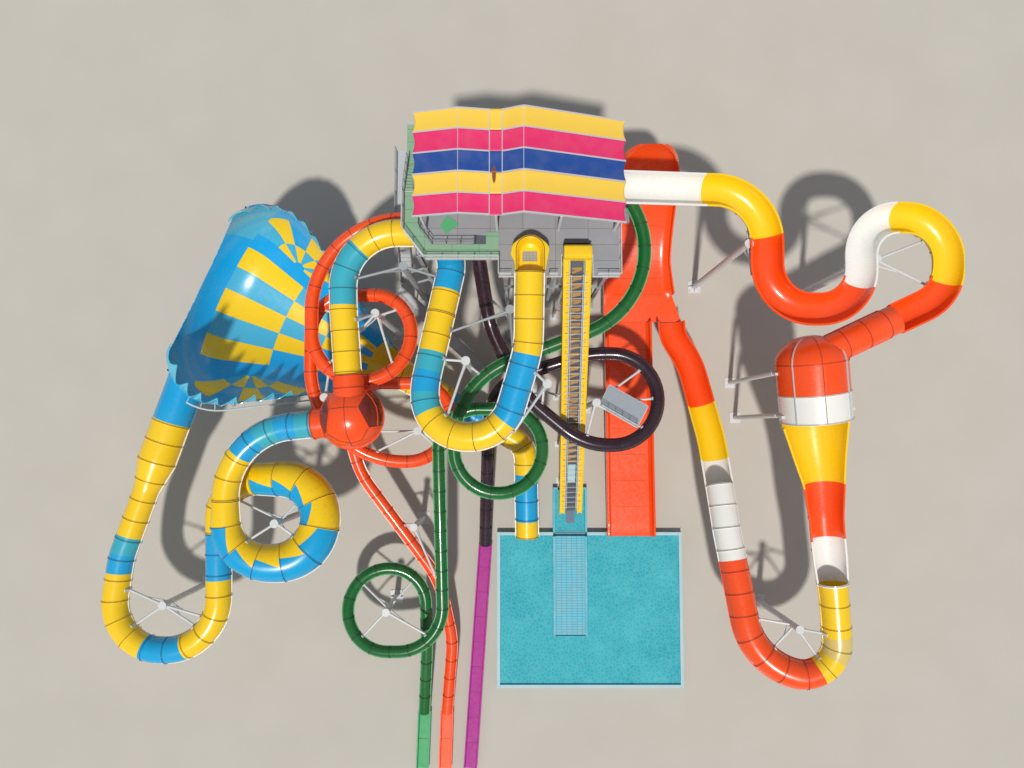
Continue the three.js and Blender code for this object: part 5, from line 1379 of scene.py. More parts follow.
def wall_runout():
    """The straight run-out from the wall down to the pool: a shallow tray with rolled edges."""
    f = finishes
    shape = Shape()
    rings = []
    levels = [(-0.06, 0.0), (-0.06, 0.82), (0.0, 0.86), (0.1, 0.86), (0.14, 0.8), (0.18, 0.35), (0.4, 0.1)]
    for (y0, _), (y1, _) in zip(RUNOUT_LEVELS, RUNOUT_LEVELS[1:]):
        for y in spread(y0, y1, 0.5)[:-1] + ([y1] if y1 == RUNOUT_LEVELS[-1][0] else []):
            z = on_line(RUNOUT_LEVELS, y)
            t = (y + 9.9) / 19.89
            west, east = 8.87 - 0.32 * t, 13.35 - 0.5 * t
            drop = 1.0 if y > -9.4 else 0.75
            left = [Vector((west + dx + 0.06, y, z + dz * drop)) for dx, dz in levels]
            right = [Vector((east - dx - 0.06, y, z + dz * drop)) for dx, dz in levels[::-1]]
            rings.append(left + right)
    shape.rings(rings, caps=True)
    for y in spread(-9.6, 9.9, 2.45)[1:-1]:
        level = on_line(RUNOUT_LEVELS, y)
        shape.box(9.3, 12.5, y - 0.008, y + 0.008, level + 0.05, level + 0.105, 1)
    make_piece("wall_runout_shell", shape, [f.orange, f.seam], ["wall_runout"])


# Body slides.

def lane_trough(shape, start, end, width, look, seam):
    direction = (end - start).normalized()
    side = Vector((-direction.y, direction.x, 0))
    half, wall, height = width / 2, 0.06, 0.5
    outline = [(-half, 0.0), (-half, height), (-half - 0.05, height), (-half - 0.05, height + 0.03),
               (wall - half, height + 0.03), (wall - half, 0.2), (0.12 - half, 0.1), (half - 0.12, 0.1),
               (half - wall, 0.2), (half - wall, height + 0.03), (half + 0.05, height + 0.03),
               (half + 0.05, height), (half, height), (half, 0.0)]
    count = max(2, round((end - start).length / 2.2))
    for i in range(count):
        a = start.lerp(end, i / count) + direction * (0.012 if i else 0.0)
        b = start.lerp(end, (i + 1) / count) - direction * 0.012
        rings = [[p + side * x + UP * z for x, z in outline] for p in (a, b)]
        shape.rings(rings, look, caps=True)
        if i:
            rings = [[p + side * x * 0.99 + UP * (z * 0.98) for x, z in outline]
                     for p in (a - direction * 0.03, a + direction * 0.005)]
            shape.rings(rings, seam, caps=True)


def build_body_slides():
    f = finishes
    sizes = bpy.context.scene.slide_sizes
    gap, stops = sizes.body_joint, [(999, 0)]
    for name, course, r, mark, looks, rim, lane, width in (
            ("orange", orange_course, sizes.body_radius, 5.5, [f.orange, f.orange_lane, f.seam], 0,
             ((-6.0, -25.9, 0), (-6.15, -31.2, 0)), 1.1),
            ("green", green_course, sizes.body_radius, 6.5, [f.green, f.lime, f.seam], 1,
             ((-8.08, -25.9, 0), (-8.25, -31.2, 0)), 1.1),
            ("purple", purple_course, sizes.purple_radius, 0, [f.purple, f.magenta, f.seam], 0,
             ((-2.49, -10.6, 0), (-3.85, -31.2, 0)), 1.15)):
        cut, last = course.distance(mark), course.length
        if mark:
            slide_piece(name + "_tube_upper_shell", course, r, 0, cut, stops, looks if rim else looks[::2],
                        [name + "_tube_upper"], gap, 20, rim=rim)
        node = name + ("_tube_lower" if mark else "_tube")
        shape = Shape()
        tube_shell(shape, course, r, sizes.wall, cut, last, stops, 20)
        for d in joints(cut, last, gap):
            flange_ring(shape, course, d, r, sizes.flange, 0, 2, 20)
        side_seams(shape, course, r, cut, last, rim, stops)
        lane_trough(shape, *map(Vector, lane), width, 1, 2)
        make_piece(node + "_shell", shape, looks, [node])


class SLIDE_OT_body_slides(bpy.types.Operator):
    """Build the orange, green and purple body tubes and their lanes"""
    bl_idname = "slide.body_slides"
    bl_label = "Body slides"

    def execute(self, context):
        build_body_slides()
        return {"FINISHED"}


# Steelwork.

# Each mast: x, y and top, and the marks of the courses that its arms reach.
MASTS = {
    "orange_loop_mast": (-10.8, 9.2, 12.4, {"orange": (2, 3, 4, 5), "raft_upper": (7.1,)}),
    "sphere_mast": (-14.75, 2.55, 12.2, {"orange": (2.1, 5.8), "raft_upper": (8,)}),
    "centre_mast": (-3.45, 5.15, 15.2, {"raft_upper": (4.2, 3.0), "green": (1.9,)}),
    "orange_mast": (-7.9, -0.1, 8.4, {"orange": (6.4, 7, 8, 10)}),
    "lane_mast": (-8.4, -8.3, 6.6, {"orange": (11.5,), "green": (6.7,)}),
    "green_mast": (-10.8, -15.6, 6.0, {"green": (7, 8, 9, 10)}),
    "spiral_mast": (-18.8, -7.4, 11.2, {"raft_lower": (2, 3, 4, 5)}),
    "return_mast": (-28.5, -14.3, 9.0, {"raft_lower": (6, 7, 5.9, 7.6)}),
    "bend_mast": (23.1, -16.0, 9.8, {"wide_lower": (4, 5, 3.5, 5.3)}),
    "flume_mast_west": (17.6, 13.8, 16.0, {"wide_upper": (1.2, 1.5, 1.35, 1.7)}),
    "flume_mast_east": (27.8, 13.0, 14.6, {"wide_upper": (3.4, 4, 5, 6)}),
}
TIED_MASTS = {
    "tower_west": (-8.3, 12.5, 14.4, {"raft_upper": (4.75, 6.45)}),
    "tower_south": (-0.15, 8.9, 15.9, {"raft_upper": (1.0, 4.4), "purple": (0.6,)}),
    "conveyor_side": (2.6, 3.4, 15.6, {"raft_upper": (1.25, 1.9), "purple": (2.2,)}),
    "platform": (6.85, 2.2, 10.4, {"purple": (3.0, 4, 5, 4.5)}),
}


def course_and_radius(name):
    sizes = bpy.context.scene.slide_sizes
    return {
        "raft_upper": (raft_upper, sizes.raft_radius), "raft_lower": (raft_lower, sizes.raft_radius),
        "wide_upper": (wide_upper, sizes.wide_radius), "wide_lower": (wide_lower, sizes.wide_radius),
        "orange": (orange_course, sizes.body_radius), "green": (green_course, sizes.body_radius),
        "purple": (purple_course, sizes.purple_radius),
    }[name]


def mast_parts(shape, x, y, top, targets):
    """A round post with a capped head, gusseted foot, and arms to saddles under the slides."""
    shape.bar((x, y, 0.05), (x, y, top), 0.26, 20)
    shape.bar((x, y, top), (x, y, top + 0.06), 0.34, 20)
    shape.box(x - 0.6, x + 0.6, y - 0.6, y + 0.6, 0, 0.06)
    for i in range(4):
        turn = pi / 4 + pi / 2 * i
        bolt = Vector((x, y, 0)) + spoke(EAST, NORTH, turn) * 0.66
        shape.bar(bolt + UP * 0.05, bolt + UP * 0.16, 0.05, 8)
        out = spoke(EAST, NORTH, turn + pi / 4)
        a = Vector((x, y, 0.06)) + out * 0.24
        shape.beam(a + UP * 0.2, a + out * 0.3 + UP * 0.03, 0.03, 0.25)
    for name, mark in ((name, mark) for name, marks in targets.items() for mark in marks):
        course, radius = course_and_radius(name)
        d = course.distance(mark)
        centre, tangent, left, rise, girth = course.frame_at(d)
        size = radius * girth
        height = min(top - 0.25, centre.z + 0.4)
        root = Vector((x, y, height))
        way = (centre - root).normalized()
        flat = Vector((way.x, way.y, 0)).normalized()
        facing = 1 if flat.dot(left) < 0 else -1
        is_open = name == "wide_upper"
        grip = radians(-38 if is_open else 0)
        end = centre + spoke(left * facing, rise, grip) * (size + 0.05)
        shape.bar(root, end, 0.1, 10)
        shape.bar(root + UP * (-1.2 if height > 2 else -0.3), root.lerp(end, 0.55), 0.06, 8)
        rings = []
        for i in range(9):
            out = spoke(left * facing, rise, radians(-80 + (62 if is_open else 110) * i / 8))
            rings.append(rib(centre + out * (size + 0.01), centre + out * (size + 0.09), tangent * 0.12))
        shape.rings(rings, caps=True)


def build_masts():
    for name, (x, y, top, targets) in MASTS.items():
        shape = Shape()
        mast_parts(shape, x, y, top, targets)
        make_piece(name + "_steel", shape, [finishes.steel], [name])


class SLIDE_OT_masts(bpy.types.Operator):
    """Build the masts with their arms and saddles"""
    bl_idname = "slide.masts"
    bl_label = "Masts"

    def execute(self, context):
        build_masts()
        return {"FINISHED"}


def build_tower():
    f = finishes
    shape = Shape()
    columns, rows = [-6.4, -1.2, 3.3, 7.4], [17.2, 21.4]
    legs = [(x, y) for x in columns for y in rows]
    legs += [(-0.5, 12.2), (3.3, 12.2), (7.4, 12.2), (-6.9, 12.9)]
    under = DECK_TOP - DECK_THICKNESS
    for x, y in legs:
        for dx, dy, sx, sy in ((0, 0.13, 0.15, 0.02), (0, -0.13, 0.15, 0.02), (0, 0, 0.02, 0.12)):
            shape.box(x + dx - sx, x + dx + sx, y + dy - sy, y + dy + sy, 0.05, under)
        shape.box(x - 0.45, x + 0.45, y - 0.45, y + 0.45, 0, 0.05)
        for z in (LOWER_DECK_TOP - 0.25, 8.2):
            shape.box(x - 0.2, x + 0.2, y - 0.2, y + 0.2, z - 0.35, z - 0.01)
    levels = (under, LOWER_DECK_TOP - DECK_THICKNESS, 8.2)

    def girder(a, b, z):
        start, end = Vector((*a, z - 0.02)), Vector((*b, z - 0.02))
        for drop in (0.0, 0.27):
            shape.beam(start - UP * (drop + 0.01), end - UP * (drop + 0.01), 0.2, 0.03)
        shape.beam(start - UP * 0.15, end - UP * 0.15, 0.03, 0.26)

    for z in levels:
        for y in rows:
            girder((columns[0], y), (columns[-1], y), z)
        for x in columns:
            girder((x, rows[0]), (x, rows[1]), z)
    girder((-0.5, 12.2), (7.4, 12.2), under)
    girder((-6.9, 12.9), (-0.5, 12.9), under)
    girder((-6.9, 12.9), (-6.9, 17.2), under)
    for x in (-0.5, 3.3, 7.4):
        girder((x, 12.2), (x, 17.2), under)
        girder((x, 12.2), (x, 17.2), 8.2)
    for x in (3.3, 7.4):
        girder((x, 12.2), (x, 17.2), LOWER_DECK_TOP - DECK_THICKNESS)
    girder((-0.5, 12.2), (7.4, 12.2), 8.2)
    for x0, x1 in zip(columns, columns[1:]):
        for y in rows:
            for z0, z1 in ((0.3, 8.0), (8.3, 12.2)):
                shape.bar((x0, y, z0), (x1, y, z1), 0.06, 8)
                shape.bar((x1, y, z0), (x0, y, z1), 0.06, 8)
    for x in (columns[0], columns[-1]):
        for z0, z1 in ((0.3, 8.0), (8.3, 12.2)):
            shape.bar((x, rows[0], z0), (x, rows[1], z1), 0.06, 8)
    for y in spread(12.6, 21.9, 1.5):
        x0 = -6.6 if y > 17.6 else -7.4 if y > 15 else -0.9
        shape.beam((x0, y, under - 0.12), (3.4 if y < 13 else 7.7, y, under - 0.12), 0.06, 0.16)
    for name in ("tower_west", "tower_south"):
        mast_parts(shape, *TIED_MASTS[name])
    for z in (8, 12):
        shape.bar((-8.3, 12.5, z), (-6.9, 12.9, z), 0.1, 10)
    shape.bar((-0.15, 8.9, 8), (-0.5, 12.2, 8), 0.1, 10)
    make_piece("tower_steelwork", shape, [f.frame], ["tower_frame"])
    finished = {
        "main_deck": f.deck, "lower_deck": f.deck, "green_walkway": f.walkway,
        "funnel_cradle": f.steel, "capsule_frame": f.steel, "splash_pool": f.pool, "conveyor_trough": f.pool,
    }
    for name, material in finished.items():
        node = frame["nodes"][name]
        node.data.materials.clear()
        node.data.materials.append(material)


class SLIDE_OT_tower(bpy.types.Operator):
    """Build the tower's legs, beams and braces, and finish its decks"""
    bl_idname = "slide.tower"
    bl_label = "Tower"

    def execute(self, context):
        build_tower()
        return {"FINISHED"}


def flight(shape, start, heading, risers, level, landing=0.0, rise=0.2, going=0.28, width=1.1):
    """Open plate treads between two stringers, with a landing at the top and rails on both sides."""
    out = spoke(EAST, NORTH, heading)
    side = spoke(NORTH, -EAST, heading)
    foot = Vector((*start, level))
    head = foot + out * going * risers + UP * (rise * risers)
    for step in range(risers):
        nose = foot + out * going * step + UP * (rise * (step + 1) - 0.02)
        shape.beam(nose, nose + out * (going + 0.03), width - 0.1, 0.035, 1)
        shape.beam(nose - UP * 0.01, nose + out * 0.03 - UP * 0.01, width - 0.1, 0.07, 1)
    end = head + out * landing
    if landing:
        shape.beam(head - UP * 0.03, end - UP * 0.03, width, 0.05, 1)
    for sign in (-1, 1):
        shift = side * sign * (width / 2 - 0.03)
        low = UP * -0.09
        shape.beam(foot + shift + low + UP * 0.22, head + shift + low, 0.05, 0.24)
        if landing:
            shape.beam(head + shift + low, end + shift + low, 0.05, 0.2)
        for height, size in ((1.0, 0.028), (0.55, 0.016), (0.3, 0.016)):
            up = UP * height
            shape.bar(foot + shift + up + UP * rise, head + shift + up, size, 6)
            if landing:
                shape.bar(head + shift + up, end + shift + up, size, 6)
        posts = [foot.lerp(head, i / 4) + UP * (rise * (1 - i / 4)) for i in range(5)]
        if landing:
            posts += [head.lerp(end, i / 3) for i in (1, 2, 3)]
        for post in posts:
            shape.bar(post + shift + UP * -0.05, post + shift + UP * 1.0, 0.024, 6)


def stand(shape, x, y, top):
    shape.bar((x, y, 0.03), (x, y, top - 0.15), 0.07, 8)
    shape.box(x - 0.25, x + 0.25, y - 0.25, y + 0.25, 0, 0.05)


def build_stairs():
    f = finishes
    grey, green = [f.frame, f.hoop], [f.frame, f.walkway]
    heading = atan2(6.7, -7.5)
    foot, along = Vector((-1.9, 5.0)), Vector((cos(heading), sin(heading)))
    # Each flight's node and looks, what flight takes, its landing's plates, and its stands.
    flights = [
        ("ground_stair_lower", grey, (foot, heading, 15, 0.0, 1.2), [], [(*(foot + along * 4.8), 3.0)]),
        ("ground_stair_upper", grey, (foot + along * 5.4, heading, 15, 3.0, 1.3),
         [(-9.75, -8.58, 11.6, 12.83, 5.93, 5.99)], [(-9.2, 12.2, 6.0), (*(foot + along * 10.7), 6.0)]),
        ("tower_stair_west", grey, ((-9.15, 12.85), pi / 2, 18, 6.0, 5.55),
         [(-9.7, -7.62, 22.25, 23.4, 9.53, 9.59)],
         [(-9.15, 18.2, 9.6), (-9.15, 23.0, 9.6), (-7.9, 22.8, 9.6)]),
        ("tower_stair_north", grey, ((-7.6, 22.8), 0.0, 15, 9.6, 1.2), [], [(-2.5, 22.8, 12.6)]),
        ("inner_stair", green, ((-4.2, 20.66), pi, 9, LOWER_DECK_TOP, 0.43, 0.2, 0.28, 1.05),
         [(-8.1, -6.75, 20.95, 23.58, 14.33, 14.39)], [(-7.5, 23.5, 14.4)]),
        ("green_stair", green, ((-7.6, 20.9), -pi / 2, 11, 14.4, 0.0, 2.15 / 11, 3.36 / 11, 0.8), [], []),
    ]
    for name, looks, steps, plates, stands in flights:
        shape = Shape()
        flight(shape, *steps)
        for plate in plates:
            shape.box(*plate, 1)
        for place in stands:
            stand(shape, *place)
        make_piece(name + "_steel", shape, looks, [name])


class SLIDE_OT_stairs(bpy.types.Operator):
    """Build the stair flights with their landings, stringers and rails"""
    bl_idname = "slide.stairs"
    bl_label = "Stairs"

    def execute(self, context):
        build_stairs()
        return {"FINISHED"}


def build_conveyor():
    f = finishes
    foot, _, left, _, _ = conveyor_course.frame_at(0.0)
    head = conveyor_course.frame_at(conveyor_course.length)[0]
    way = (head - foot).normalized()
    rise = way.cross(left)
    length = (head - foot).length

    def spot(along, across, up):
        return foot + way * along + left * across + rise * up

    shape = Shape()
    trough = [(1.03, -0.35), (1.03, 0.3), (0.98, 0.3), (0.97, 0.17), (0.66, 0.17), (0.65, 0.3), (0.58, 0.3),
              (0.56, -0.35)]
    for sign in (-1, 1):
        for a, b in zip(spread(0.0, length, 2.7), spread(0.0, length, 2.7)[1:]):
            shape.rings([[spot(along, sign * across, up) for across, up in trough]
                         for along in (a + 0.01, b - 0.01)], caps=True)
        for along in spread(0.6, length - 1.4, 0.85):
            shape.beam(spot(along, sign * 0.67, 0.175), spot(along, sign * 0.8, 0.175), 0.03, 0.02, 2)
        for across in (0.43, 0.55):
            shape.bar(spot(0.8, sign * across, 0.36), spot(length - 1.5, sign * across, 0.36), 0.026, 6, 1)
        shape.beam(spot(0.2, sign * 0.53, 0.1), spot(length - 0.2, sign * 0.53, 0.1), 0.07, 0.05, 3)
    shape.beam(spot(0.1, 0.0, -0.31), spot(length - 0.1, 0.0, -0.31), 1.12, 0.06, 3)
    for along in spread(1.0, length - 1.6, 0.62):
        shape.bar(spot(along, -0.8, 0.4), spot(along, 0.8, 0.4), 0.02, 6, 1)
        for sign in (-1, 1):
            shape.bar(spot(along, sign * 0.8, 0.17), spot(along, sign * 0.8, 0.4), 0.02, 6, 1)
    profile = [(12.24, 17.1), (12.24, 17.75), (12.3, 17.93), (12.45, 18.06), (12.9, 18.08), (13.12, 18.02),
               (13.26, 17.82), (13.28, 17.1)]
    rings = []
    for x, inset in ((3.71, 0.1), (3.74, 0.03), (3.82, 0.0), (5.64, 0.0), (5.72, 0.03), (5.75, 0.1)):
        rings.append([Vector((x, 12.76 + (y - 12.76) * (1 - inset), 17.1 + (z - 17.1) * (1 - inset)))
                      for y, z in profile])
    shape.rings(rings, caps=True)
    shape.box(3.8, 5.6, 13.28, 13.62, 16.62, 17.35, 2)
    for share in (0.13, 0.3, 0.52, 0.9):
        for sign in (-1, 1):
            top = spot(length * share, sign * 0.85, -0.35)
            shape.bar((top.x, top.y, 0.03), top, 0.11, 12, 1)
            shape.box(top.x - 0.3, top.x + 0.3, top.y - 0.3, top.y + 0.3, 0, 0.05, 1)
        west, east = spot(length * share, 0.85, -0.4), spot(length * share, -0.85, -0.4)
        for drop in spread(0.0, max(west.z - 1.0, 0.5), 3.2)[:-1]:
            low = max(0.3, west.z - drop - 2.6)
            shape.bar(west - UP * drop, Vector((east.x, east.y, low)), 0.04, 6, 1)
    make_piece("conveyor_frame_steel", shape, [f.conveyor, f.steel, f.seam, f.frame],
               ["conveyor_frame"])
    belt = Shape()
    belt.beam(spot(0.1, 0.0, -0.1), spot(length - 0.1, 0.0, -0.1), 0.9, 0.1, 0)
    for index, along in enumerate(spread(6.2, length - 1.2, 0.33)):
        slant = 0.3 if index % 2 else 0.0
        belt.beam(spot(along, 0.36, -0.02), spot(along + slant, -0.36, -0.02), 0.17, 0.06, 1)
        if index % 4 == 1:
            belt.beam(spot(along + 0.1, 0.0, 0.0), spot(along + 0.42, 0.0, 0.0), 0.6, 0.05, 1)
    belt.beam(spot(3.8, 0.0, 0.02), spot(5.9, 0.0, 0.02), 0.66, 0.06, 2)
    foot_plate = Vector((5.47, -8.7, 0.49))
    belt.beam(foot_plate, (5.46, -6.9, 0.62), 0.76, 0.05, 3)
    make_piece("conveyor_belt_rubber", belt, [f.belt, f.cleat, f.coping, f.slate],
               ["conveyor_belt"])
    mast = Shape()
    mast_parts(mast, *TIED_MASTS["conveyor_side"])
    mast.bar((2.6, 3.4, 6), (4.2, 2.96, 6), 0.1, 10)
    make_piece("conveyor_mast_steel", mast, [f.steel])


class SLIDE_OT_conveyor(bpy.types.Operator):
    """Build the raft conveyor: side troughs, rails, hoops, cleated belt, hood, legs and mast"""
    bl_idname = "slide.conveyor"
    bl_label = "Conveyor"

    def execute(self, context):
        build_conveyor()
        return {"FINISHED"}


def build_platform():
    f = finishes
    shape = Shape()
    top = PLATFORM_TOP
    corners = PLATFORM_CORNERS
    shape.prism(corners, top - 0.04, top, 0)
    for a, b in zip(corners, corners[1:] + corners[:1]):
        shape.beam((*a, top - 0.1), (*b, top - 0.1), 0.08, 0.16, 1)
    for i in range(1, 6):
        a = Vector(corners[0]).lerp(Vector(corners[1]), i / 6)
        b = Vector(corners[3]).lerp(Vector(corners[2]), i / 6)
        shape.beam((*a, top - 0.1), (*b, top - 0.1), 0.06, 0.1, 1)
    south_west, south_east = Vector((*corners[3], top)), Vector((*corners[2], top))
    inward = Vector((0.04, 0.1, 0))
    for i in range(6):
        post = south_west.lerp(south_east, 0.02 + 0.192 * i) + inward
        shape.bar(post, post + UP * RAIL_HEIGHT, 0.03, 8, 2)
    for height in (RAIL_HEIGHT, 0.75, 0.4):
        up = UP * height
        shape.bar(south_west.lerp(south_east, 0.02) + inward + up,
                  south_west.lerp(south_east, 0.98) + inward + up, 0.028, 8, 2)
    make_piece("loop_platform_deck", shape, [f.plate, f.steel, f.frame], ["loop_platform"])
    mast = Shape()
    mast_parts(mast, *TIED_MASTS["platform"])
    mast.bar((6.85, 2.2, top - 0.3), (9.6, 2.1, top - 0.16), 0.12, 12)
    make_piece("loop_platform_mast", mast, [f.steel])


class SLIDE_OT_platform(bpy.types.Operator):
    """Build the loop platform with its railing and mast"""
    bl_idname = "slide.platform"
    bl_label = "Loop platform"

    def execute(self, context):
        build_platform()
        return {"FINISHED"}


def offset_outline(outline, distance):
    sign = 1 if turned_left(outline) else -1
    moved = []
    for i, (x, y) in enumerate(outline):
        px, py = outline[i - 1]
        nx, ny = outline[(i + 1) % len(outline)]
        a = Vector((x - px, y - py)).normalized()
        b = Vector((nx - x, ny - y)).normalized()
        mitre = Vector((a.y, -a.x)) * sign + Vector((b.y, -b.x)) * sign
        mitre *= 2 * distance / mitre.length_squared
        moved.append((x + mitre.x, y + mitre.y))
    return moved


def build_railing():
    f = finishes
    shape = Shape()
    inner = offset_outline(DECK_OUTLINE, 0.001)
    outer = offset_outline(DECK_OUTLINE, 0.06)
    line = offset_outline(DECK_OUTLINE, 0.03)
    # Where the rail leaves a way through, as west, east, south and north edges.
    gaps = [(0.0, 2.6, 10.5, 12.3), (3.45, 6.1, 10.5, 13.1), (7.2, 9.0, 16.2, 18.8),
            (-7.85, -6.9, 17.0, 18.0)]

    def barred(x, y):
        return any(x0 < x < x1 and y0 < y < y1 for x0, x1, y0, y1 in gaps)

    n = len(line)
    for i in range(n):
        j = (i + 1) % n
        shape.prism([inner[i], outer[i], outer[j], inner[j]], DECK_TOP - DECK_THICKNESS, DECK_TOP + 0.1)
        a, b = Vector((*line[i], DECK_TOP)), Vector((*line[j], DECK_TOP))
        steps = max(1, round((b - a).length / 0.3))
        run = []
        for k in range(steps + 1):
            p = a.lerp(b, k / steps)
            if barred(p.x, p.y):
                run = []
                continue
            if k % 4 == 0 or k == steps:
                shape.bar(p, p + UP * RAIL_HEIGHT, 0.035, 8)
            if run:
                for height in (RAIL_HEIGHT, 0.78, 0.46, 0.18):
                    size = 0.035 if height == RAIL_HEIGHT else 0.018
                    shape.bar(run[-1] + UP * height, p + UP * height, size, 6)
            run.append(p)
    queue = [(-6.75, 16.9), (-6.75, 14.85), (-5.85, 13.66), (-2.7, 13.66)]
    for a, b in zip(queue, queue[1:]):
        start, end = Vector((*a, DECK_TOP + 0.06)), Vector((*b, DECK_TOP + 0.06))
        for height in (RAIL_HEIGHT, 0.6):
            up = UP * height
            shape.bar(start + up, end + up, 0.03, 8, 1)
        for i in range(4):
            post = start.lerp(end, i / 3)
            shape.bar(post, post + UP * RAIL_HEIGHT, 0.03, 8, 1)
    make_piece("deck_railing_steel", shape, [f.steel, f.rail], ["deck_railing"])
    mats = Shape()
    level = DECK_TOP + 0.012
    mats.prism([(-2.84, 13.55), (-1.5, 13.45), (-1.47, 14.2), (-2.81, 14.3)], level, level + 0.03, 0)
    mats.prism([(-5.3, 15.05), (-4.85, 14.35), (-3.9, 15.12), (-4.76, 15.75)], level, level + 0.03, 1)
    make_piece("deck_mats", mats, [f.belt, f.lime], [], smooth=False)


class SLIDE_OT_railing(bpy.types.Operator):
    """Build the deck's fascia and railing"""
    bl_idname = "slide.railing"
    bl_label = "Railing"

    def execute(self, context):
        build_railing()
        return {"FINISHED"}


def cloth_height(x):
    """The roof line with its folds eased by the cloth's own stiffness."""
    x0, x1 = ROOF_LINE[0][0], ROOF_LINE[-1][0]
    return sum(on_line(ROOF_LINE, min(max(x + d, x0), x1)) for d in (-0.16, -0.08, 0, 0.08, 0.16)) / 5


def build_canopy():
    f = finishes
    frame["nodes"]["canopy_frame"].data.materials.clear()
    frame["nodes"]["canopy_frame"].data.materials.append(f.steel)
    bands = (("pink", "_south"), ("yellow", "_south"), ("blue", ""), ("pink", "_north"), ("yellow", "_north"))
    x0, x1 = ROOF_LINE[0][0], ROOF_LINE[-1][0]
    columns = 150
    for band, (hue, side) in enumerate(bands):
        node, cloth_name = "canopy_" + hue + side, hue + "_cloth"
        south = ROOF_SOUTH + ROOF_BAND * band
        shape = Shape()
        rings = []
        for i in range(columns + 1):
            ring = []
            for j in range(13):
                t = j / 12
                scallop = 0.16 * sin(pi * t)
                x = x0 + scallop + (x1 - x0 - 2 * scallop) * i / columns
                sag = -0.05 * sin(pi * t)
                ring.append(Vector((x, south + 0.01 + (ROOF_BAND - 0.02) * t, cloth_height(x) + sag)))
            rings.append(ring)
        shape.rings(rings, closed=False)
        cloth = make_piece(node + "_cloth", shape, [getattr(f, cloth_name)], [node])
        solid = cloth.modifiers.new("thickness", "SOLIDIFY")
        solid.thickness = 0.003
        solid.offset = 0
    edging = Shape()
    valley, ridges = (ROOF_LINE[2][0], ROOF_LINE[3][0]), (ROOF_LINE[1][0], ROOF_LINE[4][0])
    for line in range(6):
        y = min(max(ROOF_SOUTH + ROOF_BAND * line, ROOF_SOUTH + 0.06), ROOF_SOUTH + 5 * ROOF_BAND - 0.06)
        for a, b in ((x0, valley[0]), (valley[1], x1)):
            rings = [[Vector((x, y + dy, cloth_height(x) + dz)) for dy, dz in
                      ((-0.055, 0.005), (-0.05, 0.03), (0.05, 0.03), (0.055, 0.005))]
                     for x in spread(a, b, 0.25)]
            edging.rings(rings, 0, caps=True)
    for x in (*valley, *ridges):
        wide = 0.03 if x in valley else 0.018
        for band in range(5):
            south = ROOF_SOUTH + ROOF_BAND * band
            rings = []
            for j in range(9):
                y = south + ROOF_BAND * j / 8
                z = cloth_height(x) - 0.05 * sin(pi * j / 8)
                rings.append([Vector((x + dx, y, z + dz)) for dx, dz in
                              ((-wide, 0.004), (-wide, 0.014), (wide, 0.014), (wide, 0.004))])
            edging.rings(rings, 0, caps=True)
    make_piece("canopy_edging", edging, [f.webbing])


class SLIDE_OT_canopy(bpy.types.Operator):
    """Build the canopy's cloth bands over their frame"""
    bl_idname = "slide.canopy"
    bl_label = "Canopy"

    def execute(self, context):
        build_canopy()
        return {"FINISHED"}


def build_pool():
    shape = Shape()
    for x0, x1, y0, y1 in ((-1.1, 3.83, -23.5, -9.86), (7.07, 15.6, -23.5, -9.86),
                           (3.83, 7.07, -23.5, -19.12), (4.07, 6.83, -9.5, -5.62)):
        nx, ny = max(2, round((x1 - x0) / 0.6)), max(2, round((y1 - y0) / 0.6))
        top = [[Vector((x0 + (x1 - x0) * i / nx, y0 + (y1 - y0) * j / ny, 0.45)) for j in range(ny + 1)]
               for i in range(nx + 1)]
        shape.rings(top, closed=False)
    make_piece("pool_water_surface", shape, [finishes.water], smooth=0)
    trim = Shape()
    for x0, x1, y0, y1 in ((-1.4, -1.1, -23.8, -9.55), (15.6, 15.9, -23.8, -9.55), (-1.1, 15.6, -23.8, -23.5),
                           (-1.1, 3.85, -9.85, -9.55), (7.05, 8.7, -9.85, -9.55), (13.5, 15.6, -9.85, -9.55)):
        trim.box(x0 + 0.01, x1 - 0.01, y0 + 0.01, y1 - 0.01, 0.6, 0.63, 0)
    trim.box(4.06, 6.84, -19.05, -9.95, 0.36, 0.38, 1)
    trim.box(3.9, 7.0, -9.66, -9.56, 0.6, 0.64, 2)
    make_piece("pool_trim", trim, [finishes.coping, finishes.tiles, finishes.rail],
               smooth=0)


class SLIDE_OT_pool(bpy.types.Operator):
    """Fill the pool and the conveyor trough with still water"""
    bl_idname = "slide.pool"
    bl_label = "Pool water"

    def execute(self, context):
        build_pool()
        return {"FINISHED"}


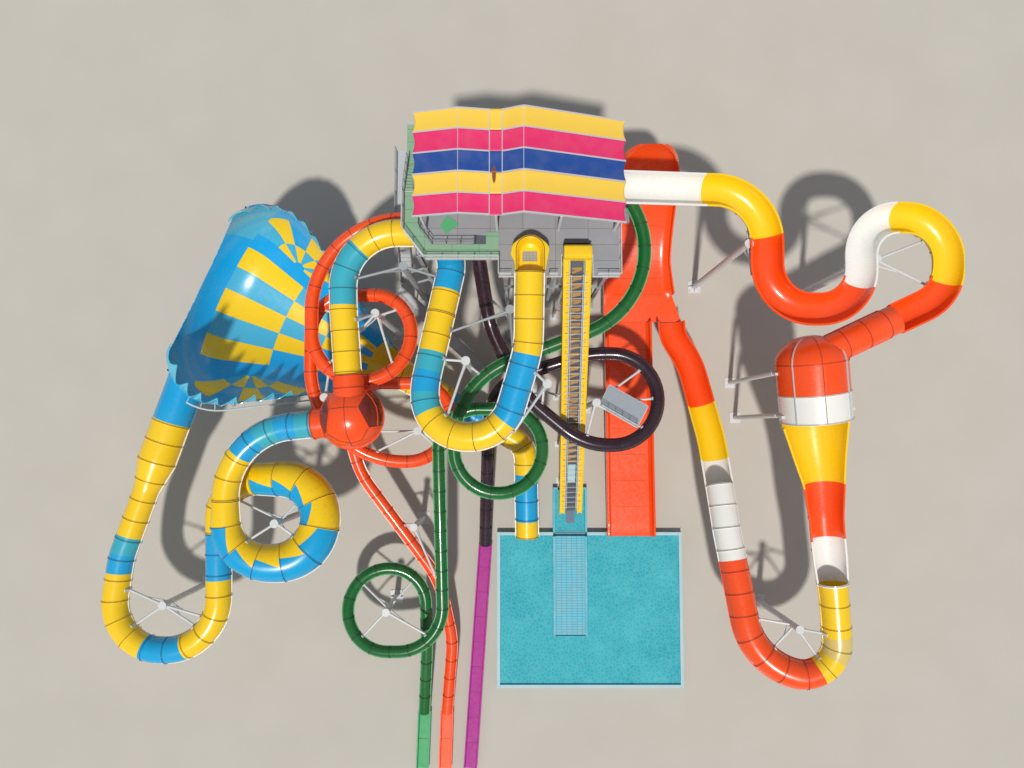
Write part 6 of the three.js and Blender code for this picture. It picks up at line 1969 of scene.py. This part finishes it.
def build_stage():
    scene = bpy.context.scene
    mesh = bpy.data.meshes.new("floor")
    reach, level = 400.0, -0.002
    corners = [(-reach, -reach), (reach, -reach), (reach, reach), (-reach, reach)]
    mesh.from_pydata([(x, y, level) for x, y in corners], [], [(0, 1, 2, 3)])
    floor = bpy.data.objects.new("floor", mesh)
    scene.collection.objects.link(floor)
    made = new_material("studio_floor", Roughness=0.9)
    tone = layer(made[1], linear("#BDB8AE"), linear("#C6C1B8"), clouds(made[1], 3.0, 2.0))
    mesh.materials.append(dressed(made, tone))
    world = bpy.data.worlds.new("studio")
    scene.world = world
    world.use_nodes = True
    world.node_tree.nodes["Background"].inputs["Color"].default_value = (0.8, 0.88, 1.0, 1.0)
    world.node_tree.nodes["Background"].inputs["Strength"].default_value = 0.34
    sun = bpy.data.lights.new("sun", "SUN")
    sun.energy = 2.8
    sun.angle = radians(3.0)
    sun.color = (1.0, 0.96, 0.9)
    lamp = bpy.data.objects.new("sun", sun)
    # From the south, 62 degrees up.
    lamp.rotation_euler = (radians(28), 0, radians(-6))
    scene.collection.objects.link(lamp)
    camera = bpy.data.cameras.new("camera")
    camera.sensor_width = 36.0
    # The photo is 1024 pixels wide and was taken with a focal length of 711 of them.
    camera.lens = 711.0 * camera.sensor_width / 1024.0
    camera.clip_end = 500.0
    eye = bpy.data.objects.new("camera", camera)
    eye.location = at(0.0, 0.0, 68.0)
    eye.rotation_euler = (radians(3.7), 0, 0)
    scene.collection.objects.link(eye)
    scene.camera = eye
    scene.view_settings.view_transform = "Standard"


class SLIDE_OT_stage(bpy.types.Operator):
    """Set the pale floor, the soft light and the camera"""
    bl_idname = "slide.stage"
    bl_label = "Stage"

    def execute(self, context):
        build_stage()
        return {"FINISHED"}


class SLIDE_PT_panel(bpy.types.Panel):
    bl_idname = "SLIDE_PT_panel"
    bl_label = "Water slide tower"
    bl_space_type = "VIEW_3D"
    bl_region_type = "UI"
    bl_category = "Slide tower"

    def draw(self, context):
        for group in (context.scene.slide_sizes, context.scene.slide_colours):
            for key in group.__annotations__:
                self.layout.prop(group, key)
        for operator in OPERATORS:
            self.layout.operator(operator.bl_idname)


OPERATORS = [
    SLIDE_OT_tower, SLIDE_OT_stairs, SLIDE_OT_railing, SLIDE_OT_canopy, SLIDE_OT_raft_ride, SLIDE_OT_sphere,
    SLIDE_OT_funnel, SLIDE_OT_wide_ride, SLIDE_OT_capsule, SLIDE_OT_wall, SLIDE_OT_body_slides,
    SLIDE_OT_masts, SLIDE_OT_conveyor, SLIDE_OT_platform, SLIDE_OT_pool, SLIDE_OT_stage,
]
CLASSES = [SlideColours, SlideSizes, *OPERATORS, SLIDE_PT_panel]


def register():
    for one in CLASSES:
        bpy.utils.register_class(one)
    bpy.types.Scene.slide_colours = PointerProperty(type=SlideColours)
    bpy.types.Scene.slide_sizes = PointerProperty(type=SlideSizes)


def unregister():
    del bpy.types.Scene.slide_sizes
    del bpy.types.Scene.slide_colours
    for one in reversed(CLASSES):
        bpy.utils.unregister_class(one)


def main():
    global finishes
    register()
    finishes = make_finishes(bpy.context.scene.slide_colours)
    for operator in OPERATORS:
        group, action = operator.bl_idname.split(".")
        getattr(getattr(bpy.ops, group), action)()


if __name__ == "__main__":
    main()
